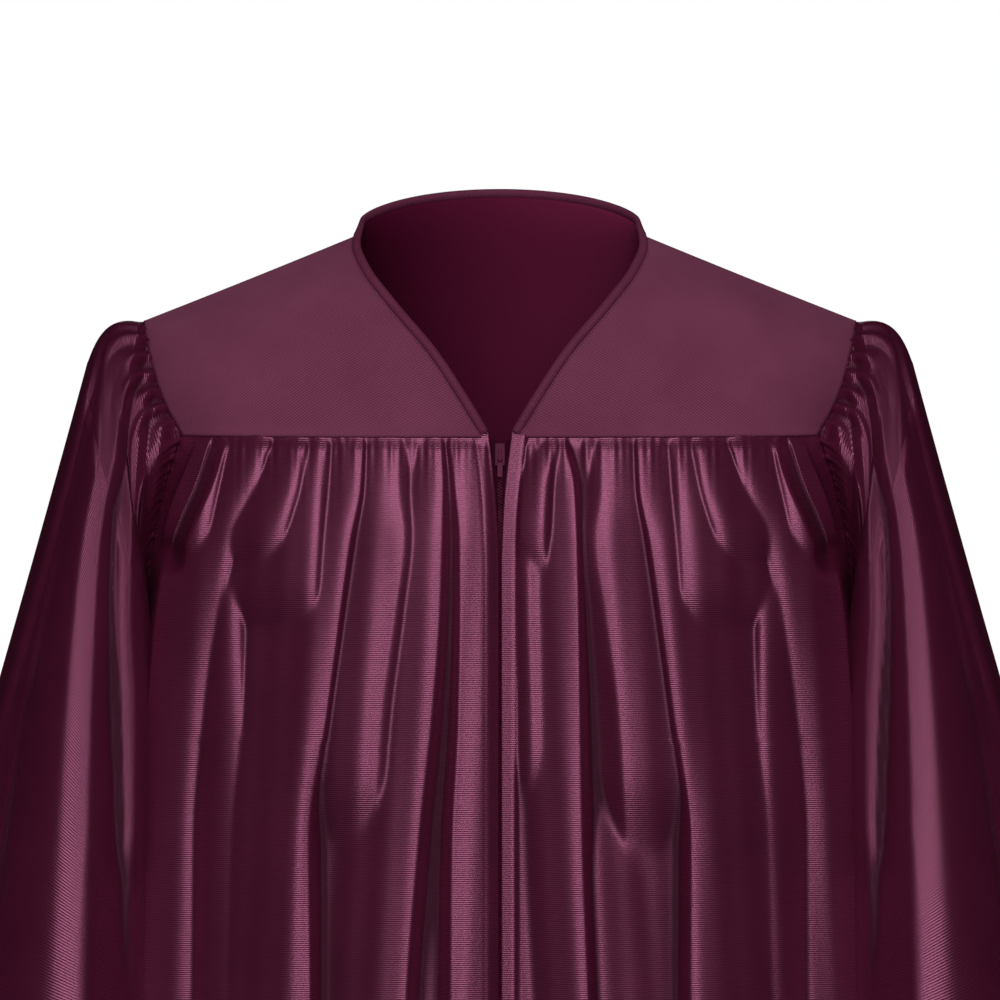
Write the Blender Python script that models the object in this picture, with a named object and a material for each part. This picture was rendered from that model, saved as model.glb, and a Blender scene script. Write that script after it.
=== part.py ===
"""A choir robe in its worn, filled-out form, with nobody in it.

The cloth is a thin wall all over: two front yokes, a back yoke, two gathered fronts, a gathered back, two
bell sleeves with gathered heads, and a rolled neck binding. A zip closes the fronts. Metres, +Z up, front
towards -Y. The origin lies on the shoulders, midway between the points where neck and shoulder seams meet.
"""

import math

import bmesh
import bpy
import numpy as np
from mathutils import Vector

# ---- Driving dimensions ------------------------------------------------------------------------------------
CLOTH = 0.0015  # the wall's thickness
SEAM_GAP = 0.00035  # between two pieces at a seam
HEM_HEIGHT = -1.370  # the hem, below the shoulders
YOKE_SEAM = -0.131  # the front yokes' lower seam
BACK_YOKE_SEAM = -0.150  # the back yoke's lower seam
UNDERARM = -0.330  # where each armhole ends and the side seam starts
SQUARENESS = 2.6  # of the body's sections: 2 is an ellipse
BACK_NECK_DEPTH = 0.075
BACK_NECK_RISE = 0.028  # the nape stands this much above the shoulders
SHOULDER_TIP = (0.240, 0.005, -0.057)
BINDING_HALF_WIDTH = 0.0028
BINDING_HALF_THICKNESS = 0.0019
FADE = 0.07  # the height over which a fold starts or ends
CAP_PUFF = 0.6  # how much further the sleeve's head stands out at the shoulder tip
MM = 1000.0

# The body's sections from the front yoke seam to the hem.
BODY_SECTIONS = {
    "height": (-0.131, -0.205, -0.330, -0.514, -0.800, -1.100, -1.370),
    "half_width": (0.234, 0.2385, 0.2385, 0.2440, 0.269, 0.308, 0.350),
    "front_depth": (0.098, 0.117, 0.127, 0.138, 0.166, 0.203, 0.240),
    "back_depth": (0.096, 0.110, 0.117, 0.128, 0.158, 0.196, 0.236),
}

# How far from the centre line the armhole's edge lies on the fronts and the back.
ARMHOLE_EDGE = {
    "height": (-0.131, -0.165, -0.205, -0.260, -0.330),
    "half_width": (0.2105, 0.2215, 0.2308, 0.2362, 0.2385),
}

# Beside the sleeves the folds run out over this distance from the armhole's edge or the side seam.
BESIDE_SLEEVE = {
    "height": (-0.131, -0.300, -0.640, -0.760, -1.370),
    "flat": (0.020, 0.055, 0.060, 0.024, 0.020),
}

# The front neck edge, where each yoke meets the binding.
NECK_EDGE = {
    "height": (0.0000, -0.0060, -0.0222, -0.0470, -0.0786, -0.1100, -0.1310),
    "half_width": (0.0975, 0.0985, 0.0920, 0.0730, 0.0460, 0.0250, 0.0122),
    "forward": (0.000, 0.012, 0.036, 0.060, 0.079, 0.091, 0.098),
}

# The front edge of each yoke along the armhole.
YOKE_ARMHOLE = {
    "height": (-0.057, -0.066, -0.082, -0.102, -0.119),
    "half_width": (0.2400, 0.2375, 0.2330, 0.2265, 0.2185),
    "forward": (-0.005, 0.014, 0.030, 0.043, 0.051),
}

# The two front edges beside the zip: they part above the closed zip and meet below it.
FRONT_EDGE = {
    "height": (-0.131, -0.162, -0.178, -0.192, -0.218, -1.370),
    "half_width": (0.0072, 0.0034, 0.0020, 0.0013, 0.0004, 0.0004),
}

# Folds of a front, from the zip outwards. The columns x_138 to x_504 are distances from the centre line, as
# seen from the front, 138 to 504 mm below the shoulders; hem is the share of the way round to the side seam.
# A fold rises to rise at the yoke and to low_rise further down. Its foot is wide across on each side at the
# yoke, and further down low_in towards the zip and low_out away from it. It starts and ends at these
# heights. A long fold has spans: how many columns of points lie before it.
FOLD_HEIGHTS = (-0.138, -0.165, -0.198, -0.245, -0.312, -0.393, -0.504)
FOLD_COLUMNS = (
    "side", "spans", "x_138", "x_165", "x_198", "x_245", "x_312", "x_393", "x_504", "hem",
    "rise", "low_rise", "wide", "low_in", "low_out", "starts", "ends",
)
FRONT_FOLDS = (
    ("right", 0, .0110, .0112, .0113, .0113, .0113, .0115, .0139, .03, .005, .005, .006, .006, .007, 0, -1.6),
    ("right", 4, .0260, .0235, .0223, .0223, .0223, .0223, .0242, .06, .008, .01, .008, .014, .010, 0, -1.6),
    ("left", 4, .0190, .0195, .0200, .0229, .0229, .0216, .0216, .060, .004, .010, .007, .014, .014, 0, -.42),
    ("left", 0, .0332, .0309, .0345, .0440, .0460, .0480, .0500, .120, .008, .009, .008, .010, .010, 0, -.21),
    ("left", 6, .0455, .0490, .0513, .0513, .0516, .0555, .0630, .200, .009, .019, .008, .026, .009, 0, -1.6),
    ("right", 6, .0487, .0500, .0461, .0432, .0461, .0545, .0661, .20, .009, .021, .009, .012, .04, 0, -1.6),
    ("both", 0, .0674, .0706, .0771, .0784, .0822, .0868, .0900, .290, .010, .012, .009, .016, .020, 0, -.38),
    ("both", 8, .0893, .0919, .0971, .1042, .1158, .1242, .1255, .390, .009, .022, .008, .011, .046, 0, -1.6),
    ("both", 0, .1022, .1029, .1042, .1100, .1160, .1250, .1260, .410, .005, .002, .006, .010, .010, 0, -.18),
    ("both", 0, .1158, .1171, .1203, .1235, .1260, .1300, .1350, .430, .008, .010, .008, .010, .014, 0, -.27),
    ("both", 0, .1293, .1384, .1461, .1506, .1530, .1550, .1560, .490, .009, .005, .009, .012, .015, 0, -.23),
    ("both", 0, .1405, .1450, .1500, .1550, .1560, .1570, .1600, .500, .005, .002, .006, .010, .010, 0, -.17),
    ("both", 4, .1490, .1510, .1600, .1713, .1693, .1719, .1738, .53, .005, .016, .006, .012, .018, -.2, -1.6),
    ("both", 6, .1571, .1629, .1725, .1854, .1958, .1983, .1996, .650, .009, .022, .008, .014, .040, 0, -1.6),
    ("both", 0, .1725, .1740, .1800, .1900, .1960, .2000, .2100, .700, .005, .002, .006, .010, .010, 0, -.17),
    ("both", 0, .1822, .1893, .1951, .1996, .2020, .2100, .2200, .760, .009, .005, .009, .014, .018, 0, -.23),
    ("both", 4, .1980, .2010, .2060, .2106, .2196, .2210, .2215, .860, .004, .010, .007, .020, .036, 0, -1.6),
)
FRONT_SPANS_TO_SIDE = 4
BESIDE_ZIP = 0.012  # over this distance from the front edges the folds start
FOLD_START = {"drop": 0.014, "share": 0.35}  # a fold's rise at the seam, and how far below it is in full
FOLD_GROWTH = {"drop": (0.0, 0.040, 0.170), "share": (0.0, 0.40, 0.80)}  # from the yoke's size to the hem's

# Folds of one half of the back, by their share of the way round to the side seam, at the seam and at the
# hem.
BACK_COLUMNS = (
    "spans", "seam", "hem", "rise", "low_rise", "wide", "low_in", "low_out", "starts", "ends"
)
BACK_FOLDS = (
    (2, 0.030, 0.060, 0.007, 0.021, 0.009, 0.020, 0.026, 0.0, -1.60),
    (0, 0.095, 0.125, 0.006, 0.005, 0.008, 0.012, 0.015, 0.0, -0.30),
    (4, 0.160, 0.190, 0.009, 0.023, 0.009, 0.014, 0.036, 0.0, -1.60),
    (0, 0.225, 0.250, 0.006, 0.003, 0.008, 0.012, 0.014, 0.0, -0.24),
    (4, 0.290, 0.310, 0.008, 0.020, 0.009, 0.014, 0.032, 0.0, -1.60),
    (0, 0.360, 0.380, 0.005, 0.008, 0.008, 0.014, 0.018, 0.0, -0.50),
    (4, 0.425, 0.455, 0.009, 0.023, 0.009, 0.014, 0.036, 0.0, -1.60),
    (0, 0.490, 0.520, 0.006, 0.004, 0.008, 0.012, 0.015, 0.0, -0.27),
    (4, 0.555, 0.590, 0.008, 0.021, 0.009, 0.014, 0.034, 0.0, -1.60),
    (0, 0.620, 0.655, 0.006, 0.006, 0.008, 0.012, 0.016, 0.0, -0.38),
    (4, 0.690, 0.720, 0.008, 0.020, 0.009, 0.014, 0.034, 0.0, -1.60),
    (0, 0.760, 0.800, 0.005, 0.003, 0.008, 0.012, 0.015, 0.0, -0.25),
    (4, 0.830, 0.860, 0.004, 0.011, 0.008, 0.020, 0.034, 0.0, -1.60),
)

BACK_SPANS_TO_SIDE = 2

# A sleeve is carried by three rings: the armhole, one just below it and the cuff. Lean is how far its front
# inner corner hangs in front of the body's side.
ARM_RING = {
    "inner": (0.2425, -0.352), "outer": (0.2770, -0.084),
    "forward": 0.000, "half_depth": 0.090, "lean": 0.035,
}
CUFF_RING = {
    "inner": (0.2640, -0.650), "outer": (0.4370, -0.668),
    "forward": -0.006, "half_depth": 0.150, "lean": 0.103,
}
RING_SQUARENESS = 2.2  # as the body's
SLEEVE_SLACK = 1.2  # how far the cloth runs on below the shoulder before it hangs straight, against its drop

# Folds of a sleeve and the plain columns between them, by their share of the way round from the shoulder
# tip, over the front, at each ring.
SLEEVE_COLUMNS = (
    "spans", "head", "arm", "cuff", "rise", "arm_rise", "cuff_rise",
    "wide", "arm_out", "arm_in", "cuff_out", "cuff_in",
)
SLEEVE_FOLDS = (
    (2, 0.000, 0.010, 0.010, 0.004, 0.003, 0.006, 0.010, 0.014, 0.014, 0.036, 0.036),
    (2, 0.032, 0.070, 0.080, 0.004, 0.003, 0.006, 0.010, 0.016, 0.016, 0.034, 0.034),
    (2, 0.064, 0.140, 0.170, 0.005, 0.005, 0.012, 0.010, 0.018, 0.018, 0.040, 0.040),
    (3, 0.098, 0.235, 0.285, 0.006, 0.010, 0.024, 0.011, 0.026, 0.014, 0.042, 0.028),
    (3, 0.132, 0.325, 0.375, 0.004, 0.006, 0.012, 0.010, 0.014, 0.014, 0.024, 0.024),
    (2, 0.168, 0.385, 0.430, 0.002, 0.002, 0.000, 0.009, 0.010, 0.010, 0.020, 0.020),
    (2, 0.280, 0.430, 0.475, 0.000, 0.000, 0.000, 0.010, 0.010, 0.010, 0.020, 0.020),
    (2, 0.400, 0.465, 0.515, 0.000, 0.000, 0.000, 0.010, 0.010, 0.010, 0.020, 0.020),
    (2, 0.500, 0.500, 0.550, 0.000, 0.000, 0.000, 0.010, 0.010, 0.010, 0.020, 0.020),
    (2, 0.600, 0.535, 0.585, 0.000, 0.000, 0.000, 0.010, 0.010, 0.010, 0.020, 0.020),
    (2, 0.720, 0.585, 0.620, 0.000, 0.002, 0.010, 0.010, 0.012, 0.012, 0.030, 0.030),
    (3, 0.840, 0.665, 0.700, 0.004, 0.008, 0.022, 0.011, 0.014, 0.024, 0.028, 0.042),
    (2, 0.875, 0.750, 0.785, 0.004, 0.004, 0.008, 0.010, 0.014, 0.014, 0.030, 0.030),
    (2, 0.910, 0.825, 0.865, 0.005, 0.008, 0.020, 0.010, 0.018, 0.018, 0.040, 0.040),
    (2, 0.955, 0.910, 0.940, 0.004, 0.004, 0.008, 0.010, 0.016, 0.016, 0.036, 0.036),
)
# How each fold of the sleeve's head starts: this share of its rise at the armhole, and more further down.
SLEEVE_START = {"share": 0.15, "down": 0.4}

# How the cloth runs over the shoulder in the back yoke and into its armhole's edge: it leaves the seam this
# far, sloping down by these degrees, steeper at the nape, and comes to the lower seam upright.
BACK_YOKE_DRAPE = {"leaving": 0.085, "arriving": 0.110, "slope": 9.0, "nape_slope": 75.0}
YOKE_SWELL = (0.0008, -0.0032, 0.0022)  # how a front yoke's middle stands out

# The zip. Its parts are placed by their distance down from the slider's top and out from the fronts' outer
# face.
ZIP_DROP = 0.860  # from the yoke seam to the zip's lower end
TAPE_WIDTH = 0.011
TAPE_THICKNESS = 0.0008
TAPE_DEPTH = 0.0020  # how far the tape lies behind the fronts' outer face
TAPE_EDGE = {"drop": (0.003, 0.009, 0.019, 0.860), "half_gap": (0.0042, 0.0020, 0.0012, 0.0012)}
SLIDER_TOP = -0.1365
SLIDER = {
    "front_plate": {"x": 0.0033, "down": (0.0000, 0.0150), "out": (-0.00145, -0.00045)},
    "back_plate": {"x": 0.0033, "down": (0.0000, 0.0150), "out": (-0.00420, -0.00320)},
    "post": {"x": 0.0010, "down": (0.0005, 0.0040), "out": (-0.00340, -0.00130)},
    "bridge_top": {"x": 0.0008, "down": (0.0035, 0.0125), "out": (0.00100, 0.00180)},
    "bridge_head": {"x": 0.0008, "down": (0.0035, 0.0047), "out": (-0.00060, 0.00110)},
    "bridge_foot": {"x": 0.0008, "down": (0.0115, 0.0125), "out": (-0.00060, 0.00110)},
}
HINGE = {"down": 0.01075, "out": 0.000275}
PULL = {"half_width": 0.0018, "thickness": 0.0008, "length": 0.0122}
PULL_EYE = {"half_width": 0.0012, "end": 0.0030}

# ---- Small mathematics -------------------------------------------------------------------------------------
def smooth(xs, ys, x):
    """A curve through the points (xs, ys) that doesn't overshoot them, read at x."""
    xs, ys, x = (np.asarray(v, float) for v in (xs, ys, x))
    if xs[0] > xs[-1]:
        xs, ys = xs[::-1], ys[::-1]
    step, rise = np.diff(xs), np.diff(ys)
    slope = rise / step
    tangent = np.zeros(len(xs))
    same = slope[1:] * slope[:-1] > 0
    tangent[1:-1][same] = 2 * (slope[1:] * slope[:-1])[same] / (slope[1:] + slope[:-1])[same]
    tangent[0], tangent[-1] = slope[0], slope[-1]
    x = np.clip(x, xs[0], xs[-1])
    i = np.clip(np.searchsorted(xs, x) - 1, 0, len(step) - 1)
    t = (x - xs[i]) / step[i]
    return (
        ys[i] * (1 + 2 * t) * (1 - t) ** 2
        + ys[i + 1] * t * t * (3 - 2 * t)
        + step[i] * (tangent[i] * t * (1 - t) ** 2 - tangent[i + 1] * t * t * (1 - t))
    )


def lengths_along(points):
    """The distance from the first point to each point of a polyline."""
    return np.concatenate([[0.0], np.cumsum(np.linalg.norm(np.diff(points, axis=0), axis=1))])


def read_at(points, shares):
    """The points at these shares of a polyline's length."""
    along = lengths_along(points)
    at = np.asarray(shares) * along[-1]
    return np.stack([np.interp(at, along, points[:, k]) for k in range(points.shape[1])], axis=1)


def ridge(distance, before, after):
    """A rounded fold of height 1: distance past its crest, whose foot lies before and after it by these
    widths."""
    q = np.clip(np.where(distance < 0, -distance / before, distance / after), 0, 1)
    return (1 - q * q) ** 1.25


def soft_max(heights, sharpness=900.0):
    """The upper envelope of several folds, with a small radius where two folds meet."""
    stack = np.stack(heights)
    top = stack.max(axis=0)
    return top + np.log(np.exp(sharpness * (stack - top)).sum(axis=0)) / sharpness


def unit(vectors):
    return vectors / np.maximum(np.linalg.norm(vectors, axis=-1, keepdims=True), 1e-12)


# ---- The body's form ---------------------------------------------------------------------------------------
def body_size(z):
    """Half width, front depth and back depth of the body at a height."""
    heights = BODY_SECTIONS["height"]
    return [float(smooth(heights, BODY_SECTIONS[k], z)) for k in ("half_width", "front_depth", "back_depth")]


def half_section(z, front, start=0.0, whole=False):
    """A fine polyline round one half of the body at a height, from a distance start off the centre line to
    the armhole's edge, or to the side seam where there is no armhole or where whole is set."""
    half_width, front_depth, back_depth = body_size(z)
    depth = -front_depth if front else back_depth
    angle = np.linspace(0, math.pi / 2, 361)
    power = 2 / SQUARENESS
    x = half_width * np.sin(angle) ** power
    y = depth * np.cos(angle).clip(0) ** power
    stop = half_width
    if z > UNDERARM and not whole:
        stop = min(half_width, float(smooth(ARMHOLE_EDGE["height"], ARMHOLE_EDGE["half_width"], z)))
    keep = (x > start + 1e-5) & (x < stop - 1e-5)
    ends = np.interp([start, stop], x, y)
    x = np.concatenate([[start], x[keep], [stop]])
    y = np.concatenate([ends[:1], y[keep], ends[1:]])
    return np.stack([x, y, np.full_like(x, z)], axis=1)


def outward(section, front):
    """Unit vectors across a half section, pointing away from the body."""
    along = np.gradient(section[:, :2], axis=0)
    across = np.stack([along[:, 1], -along[:, 0]], axis=1) * (1 if front else -1)
    flat = unit(across)
    return np.stack([flat[:, 0], flat[:, 1], np.zeros(len(flat))], axis=1)


def rows_of(columns, table):
    return [dict(zip(columns, row)) for row in table]


def fade(z, starts, ends):
    """1 between the heights where a fold starts and ends and 0 beyond them, with soft changes."""
    return float(np.clip((z - ends) / FADE + 0.5, 0, 1) * np.clip((starts - z) / FADE + 0.5, 0, 1))


def front_fold_share(fold, z):
    """Where a front fold lies at a height, as a share of the way round from the centre line."""
    shares = []
    for height in FOLD_HEIGHTS:
        section = half_section(height, True, whole=True)
        along = lengths_along(section)
        x = fold[f"x_{-height * MM:.0f}"]
        shares.append(float(np.interp(x, section[:, 0], along)) / along[-1])
    return float(smooth([*FOLD_HEIGHTS, HEM_HEIGHT], [*shares, fold["hem"]], z))


def back_fold_share(fold, z):
    return float(smooth((BACK_YOKE_SEAM, HEM_HEIGHT), (fold["seam"], fold["hem"]), z))


def fold_size(fold, z, top):
    """A body fold's rise at a height, and how far its foot lies on its inner and its outer side."""
    heights = [top - drop for drop in FOLD_GROWTH["drop"]]
    grown = float(smooth((*heights, HEM_HEIGHT), (*FOLD_GROWTH["share"], 1.0), z))
    start = float(smooth((top, top - FOLD_START["drop"], HEM_HEIGHT), (FOLD_START["share"], 1.0, 1.0), z))
    present = fade(z, fold["starts"], fold["ends"])
    rise = (fold["rise"] + (fold["low_rise"] - fold["rise"]) * grown) * start * present
    return rise, *(fold["wide"] + (fold[low] - fold["wide"]) * grown for low in ("low_in", "low_out"))


def columns_between(places, spans, finer):
    """Positions of the columns of points: spans before each place, all of them finer times closer."""
    counted = np.concatenate([[0], np.cumsum(spans)])
    return np.interp(np.arange(counted[-1] * finer + 1) / finer, counted, places)


def panel_row(z, finer, folds, front, top, spans_to_side):
    """One row of a body panel on the +X side, from its centre edge to its armhole or side seam."""
    start = float(smooth(FRONT_EDGE["height"], FRONT_EDGE["half_width"], z)) if front else 0.0
    section = half_section(z, front, start=start)
    whole = lengths_along(half_section(z, front, whole=True))[-1]
    skipped = whole - lengths_along(half_section(z, front, start=start, whole=True))[-1]
    length = lengths_along(section)[-1]
    share = front_fold_share if front else back_fold_share
    long_folds = [fold for fold in folds if fold["spans"]]
    places = [min(share(fold, z) * whole - skipped, length - 0.004) for fold in long_folds]
    spans = [*(fold["spans"] for fold in long_folds), spans_to_side]
    at = columns_between([0.0, *places, length], spans, finer)
    heights = [np.zeros(len(at))]
    for fold in folds:
        rise, inner, outer = fold_size(fold, z, top)
        heights.append(rise * ridge(at + skipped - share(fold, z) * whole, inner, outer))
    beside_sleeve = float(smooth(BESIDE_SLEEVE["height"], BESIDE_SLEEVE["flat"], z))
    lift = soft_max(heights) * np.clip((length - at) / beside_sleeve, 0, 1)
    if front:
        lift = lift * np.clip(at / BESIDE_ZIP, 0, 1)
    return read_at(section, at / length) + read_at(outward(section, front), at / length) * lift[:, None]


# ---- The armhole and the sleeves ---------------------------------------------------------------------------
def yoke_armhole_front(count):
    """The front yoke's armhole edge on the +X side, from the shoulder tip to the yoke seam."""
    corner_x, corner_y, _ = half_section(YOKE_SEAM, True)[-1]
    heights = (*YOKE_ARMHOLE["height"], YOKE_SEAM)
    z = np.linspace(heights[0], heights[-1], count)
    x = smooth(heights, (*YOKE_ARMHOLE["half_width"], corner_x), z)
    y = smooth(heights, (*(-forward for forward in YOKE_ARMHOLE["forward"]), corner_y), z)
    return np.stack([x, y, z], axis=1)


def panel_edge(front, count):
    """A body panel's armhole edge on the +X side, from its yoke seam to the underarm."""
    top = YOKE_SEAM if front else BACK_YOKE_SEAM
    return np.array([half_section(z, front)[-1] for z in np.linspace(top, UNDERARM, count)])


def hermite(a, b, leaving, arriving, t):
    """Points between a and b that leave and arrive in these directions."""
    t = np.asarray(t)[..., None]
    return (
        a * (1 + 2 * t) * (1 - t) ** 2
        + b * t * t * (3 - 2 * t)
        + leaving * t * (1 - t) ** 2
        - arriving * t * t * (1 - t)
    )


def yoke_armhole_back(count):
    """The back yoke's armhole edge on the +X side, from the shoulder tip to the back yoke seam."""
    tip, corner = np.array(SHOULDER_TIP), half_section(BACK_YOKE_SEAM, False)[-1]
    slope = math.radians(BACK_YOKE_DRAPE["slope"])
    leaving = BACK_YOKE_DRAPE["leaving"] * np.array([0, math.cos(slope), -math.sin(slope)])
    arriving = np.array([0.0, 0.0, -BACK_YOKE_DRAPE["arriving"]])
    return hermite(tip, corner, leaving, arriving, np.linspace(0, 1, count))


def armhole_loop():
    """The armhole on the +X side, from the shoulder tip down the front and up the back."""
    front = [yoke_armhole_front(40), panel_edge(True, 60)[1:]]
    back = [panel_edge(False, 60)[-2::-1], yoke_armhole_back(40)[-2:0:-1]]
    return np.concatenate(front + back)


def ring_point(ring, angle):
    """A point of an arm ring on the +X side: angle 0 is outermost, then the front."""
    (inner_x, inner_z), (outer_x, outer_z) = ring["inner"], ring["outer"]
    power = 2 / RING_SQUARENESS
    across = np.sign(np.cos(angle)) * np.abs(np.cos(angle)) ** power
    deep = np.sign(np.sin(angle)) * np.abs(np.sin(angle)) ** power
    x = (outer_x + inner_x) / 2 + (outer_x - inner_x) / 2 * across
    z = (outer_z + inner_z) / 2 + (outer_z - inner_z) / 2 * across
    x = x - ring["lean"] * np.maximum(deep, 0) ** 2 * (1 - across) / 2
    return np.stack([x, -ring["forward"] - ring["half_depth"] * deep, z], axis=-1)


def sleeve_base(head, round_arm, down):
    """Points of the sleeve's form on the +X side. down is 0 at the armhole, 1 at the arm ring and 2 at the
    cuff; head and round_arm are shares of the way round the armhole and the rings."""
    loop = armhole_loop()
    closed_loop = np.vstack([loop, loop[:1]])
    start = read_at(closed_loop, np.asarray(head) % 1)
    centre = loop.mean(axis=0)
    inward = unit((centre - start) * np.array([0.0, 1.0, 1.0]))
    start = start + SEAM_GAP * inward + np.array([1.3 * SEAM_GAP, 0, 0])
    angle = 2 * math.pi * np.asarray(round_arm)
    arm, cuff = ring_point(ARM_RING, angle), ring_point(CUFF_RING, angle)
    if down > 1:
        return arm + (cuff - arm) * (down - 1)
    turn = math.pi * (np.asarray(head) + np.asarray(round_arm))
    leaving = np.stack([0.62 + 0.38 * np.cos(turn), -0.5 * np.sin(turn), -0.15 + 0.55 * np.cos(turn)], axis=1)
    reach = np.linalg.norm(arm - start, axis=1, keepdims=True)
    puffed = 1 + CAP_PUFF * np.cos(turn).clip(0)[:, None] ** 4
    falling = unit(cuff - arm) * reach * SLEEVE_SLACK
    return hermite(start, arm, unit(leaving) * reach * puffed, falling, np.full(len(arm), down))


def soften_round(values, times):
    """Averages each value of a closed ring with its neighbours."""
    for _ in range(times):
        values = (np.roll(values, 1, axis=0) + 2 * values + np.roll(values, -1, axis=0)) / 4
    return values


def sleeve_row(down, finer, folds):
    """One ring of a sleeve on the +X side, folds included."""
    keys = ("head", "arm", "cuff")
    places = {k: np.array([fold[k] for fold in folds]) for k in keys}
    spans = np.array([fold["spans"] for fold in folds])
    spans = np.concatenate([spans[1:], spans[:1]])
    rounds = {k: columns_between([*places[k], places[k][0] + 1], spans, finer)[:-1] for k in keys}
    head = rounds["head"]
    low = max(down - 1, 0)
    round_arm = rounds["arm"] + (rounds["cuff"] - rounds["arm"]) * low
    base = sleeve_base(head, round_arm, down)
    a_little = 0.004
    next_point = sleeve_base(head + a_little, round_arm + a_little, down)
    ahead = next_point - sleeve_base(head - a_little, round_arm - a_little, down)
    next_down, last_down = min(down + 0.02, 2), max(down - 0.02, 0)
    below = sleeve_base(head, round_arm, next_down) - sleeve_base(head, round_arm, last_down)
    normal = soften_round(unit(np.cross(below, ahead)), 4 * finer)
    along = lengths_along(np.vstack([base, base[:1]]))
    first = np.concatenate([[0], np.cumsum(spans)[:-1]]) * finer
    heights = [np.zeros(len(base))]
    for fold, i in zip(folds, first):
        rise = float(smooth((0, 1, 2), (fold["rise"], fold["arm_rise"], fold["cuff_rise"]), down))
        before, after = (
            float(smooth((0, 1, 2), (fold["wide"], fold["arm_" + way], fold["cuff_" + way]), down))
            for way in ("out", "in")
        )
        gap = (along[:-1] - along[i] + along[-1] / 2) % along[-1] - along[-1] / 2
        heights.append(rise * ridge(gap, before, after))
    lift = soft_max(heights) * float(np.clip(SLEEVE_START["share"] + down / SLEEVE_START["down"], 0, 1))
    return soften_round(base + normal * lift[:, None], 3 * finer if 0 < down < 1 else 0)


# ---- The yokes and the neck --------------------------------------------------------------------------------
def neck_edge(count):
    """The front neck edge on the +X side, from the shoulder down to the zip."""
    z = np.linspace(NECK_EDGE["height"][0], NECK_EDGE["height"][-1], count)
    x = smooth(NECK_EDGE["height"], NECK_EDGE["half_width"], z)
    return np.stack([x, -smooth(NECK_EDGE["height"], NECK_EDGE["forward"], z), z], axis=1)


def shoulder_seam(count):
    """The shoulder seam on the +X side, from the neck to the shoulder tip, with a slight hollow."""
    t = np.linspace(0, 1, count)[:, None]
    neck, tip = np.array([NECK_EDGE["half_width"][0], 0.0, 0.0]), np.array(SHOULDER_TIP)
    return neck + (tip - neck) * t - np.array([0, 0, 0.0004]) * np.sin(math.pi * t)


def front_yoke_rows(columns, rows):
    """A front yoke on the +X side, spread between its four edges: rows run from the shoulder to the yoke
    seam."""
    top, inner, outer = shoulder_seam(200), neck_edge(200), yoke_armhole_front(200)
    low = half_section(YOKE_SEAM, True, start=NECK_EDGE["half_width"][-1])
    u = np.linspace(0, 1, columns)
    top, low = read_at(top, u), read_at(low, u)
    grid = []
    for v in np.linspace(0, 1, rows):
        left, right = read_at(inner, [v])[0], read_at(outer, [v])[0]
        across = left * (1 - u[:, None]) + right * u[:, None]
        down = top * (1 - v) + low * v
        corners = (top[0] * (1 - u[:, None]) + top[-1] * u[:, None]) * (1 - v)
        corners = corners + (low[0] * (1 - u[:, None]) + low[-1] * u[:, None]) * v
        swell = math.sin(math.pi * v) * np.sin(math.pi * u)[:, None] * np.array(YOKE_SWELL)
        grid.append(across + down - corners + swell)
    return grid


def relax(grid):
    """Spreads a crease inside a grid of points over its neighbours, the four edges kept."""
    grid = np.stack(grid)
    across, down = grid.shape[:2]
    for _ in range(3 * max(across, down)):
        middle = (grid[1:-1, :-2] + grid[1:-1, 2:] + grid[:-2, 1:-1] + grid[2:, 1:-1]) / 4
        grid[1:-1, 1:-1] = 0.5 * grid[1:-1, 1:-1] + 0.5 * middle
    return list(grid)


def back_yoke_rows(half_columns, rows):
    """The back yoke, from the -X armhole to the +X armhole: rows run from the neck and shoulder seams to
    its lower seam."""
    on_shoulder = half_columns // 2
    shoulder = read_at(shoulder_seam(60)[::-1], np.linspace(0, 1, on_shoulder, endpoint=False))
    turn = np.linspace(0, math.pi / 2, half_columns - on_shoulder + 1)
    neck = NECK_EDGE["half_width"][0]
    nape = np.array([neck, BACK_NECK_DEPTH, BACK_NECK_RISE])
    nape = nape * np.stack([np.cos(turn), np.sin(turn), np.sin(turn)], axis=1)
    top = np.concatenate([shoulder, nape])
    slope, nape_slope = BACK_YOKE_DRAPE["slope"], BACK_YOKE_DRAPE["nape_slope"]
    at_neck = slope + (nape_slope - slope) * (1 - np.cos(turn)) ** 0.8
    steep = np.radians(np.concatenate([np.full(on_shoulder, slope), at_neck]))
    low_line = half_section(BACK_YOKE_SEAM, False)
    corner, below_neck = low_line[-1, 0], neck + 0.006
    on_seam = np.concatenate([
        corner + (below_neck - corner) * np.linspace(0, 1, on_shoulder, endpoint=False),
        below_neck * (0.5 * np.cos(turn) + 0.5 * (1 - turn / (math.pi / 2))),
    ])
    low = np.stack([np.interp(on_seam, low_line[:, 0], low_line[:, k]) for k in range(3)], axis=1)
    leaving = BACK_YOKE_DRAPE["leaving"] * np.stack([0 * steep, np.cos(steep), -np.sin(steep)], axis=1)
    arriving = np.array([0.0, 0.0, -BACK_YOKE_DRAPE["arriving"]]) * np.ones((len(steep), 1))
    grid = []
    for v in np.linspace(0, 1, rows):
        half = hermite(top, low, leaving, arriving, np.full(len(top), v))
        grid.append(np.concatenate([half * np.array([-1, 1, 1]), half[-2::-1]]))
    return relax(grid)


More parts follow.
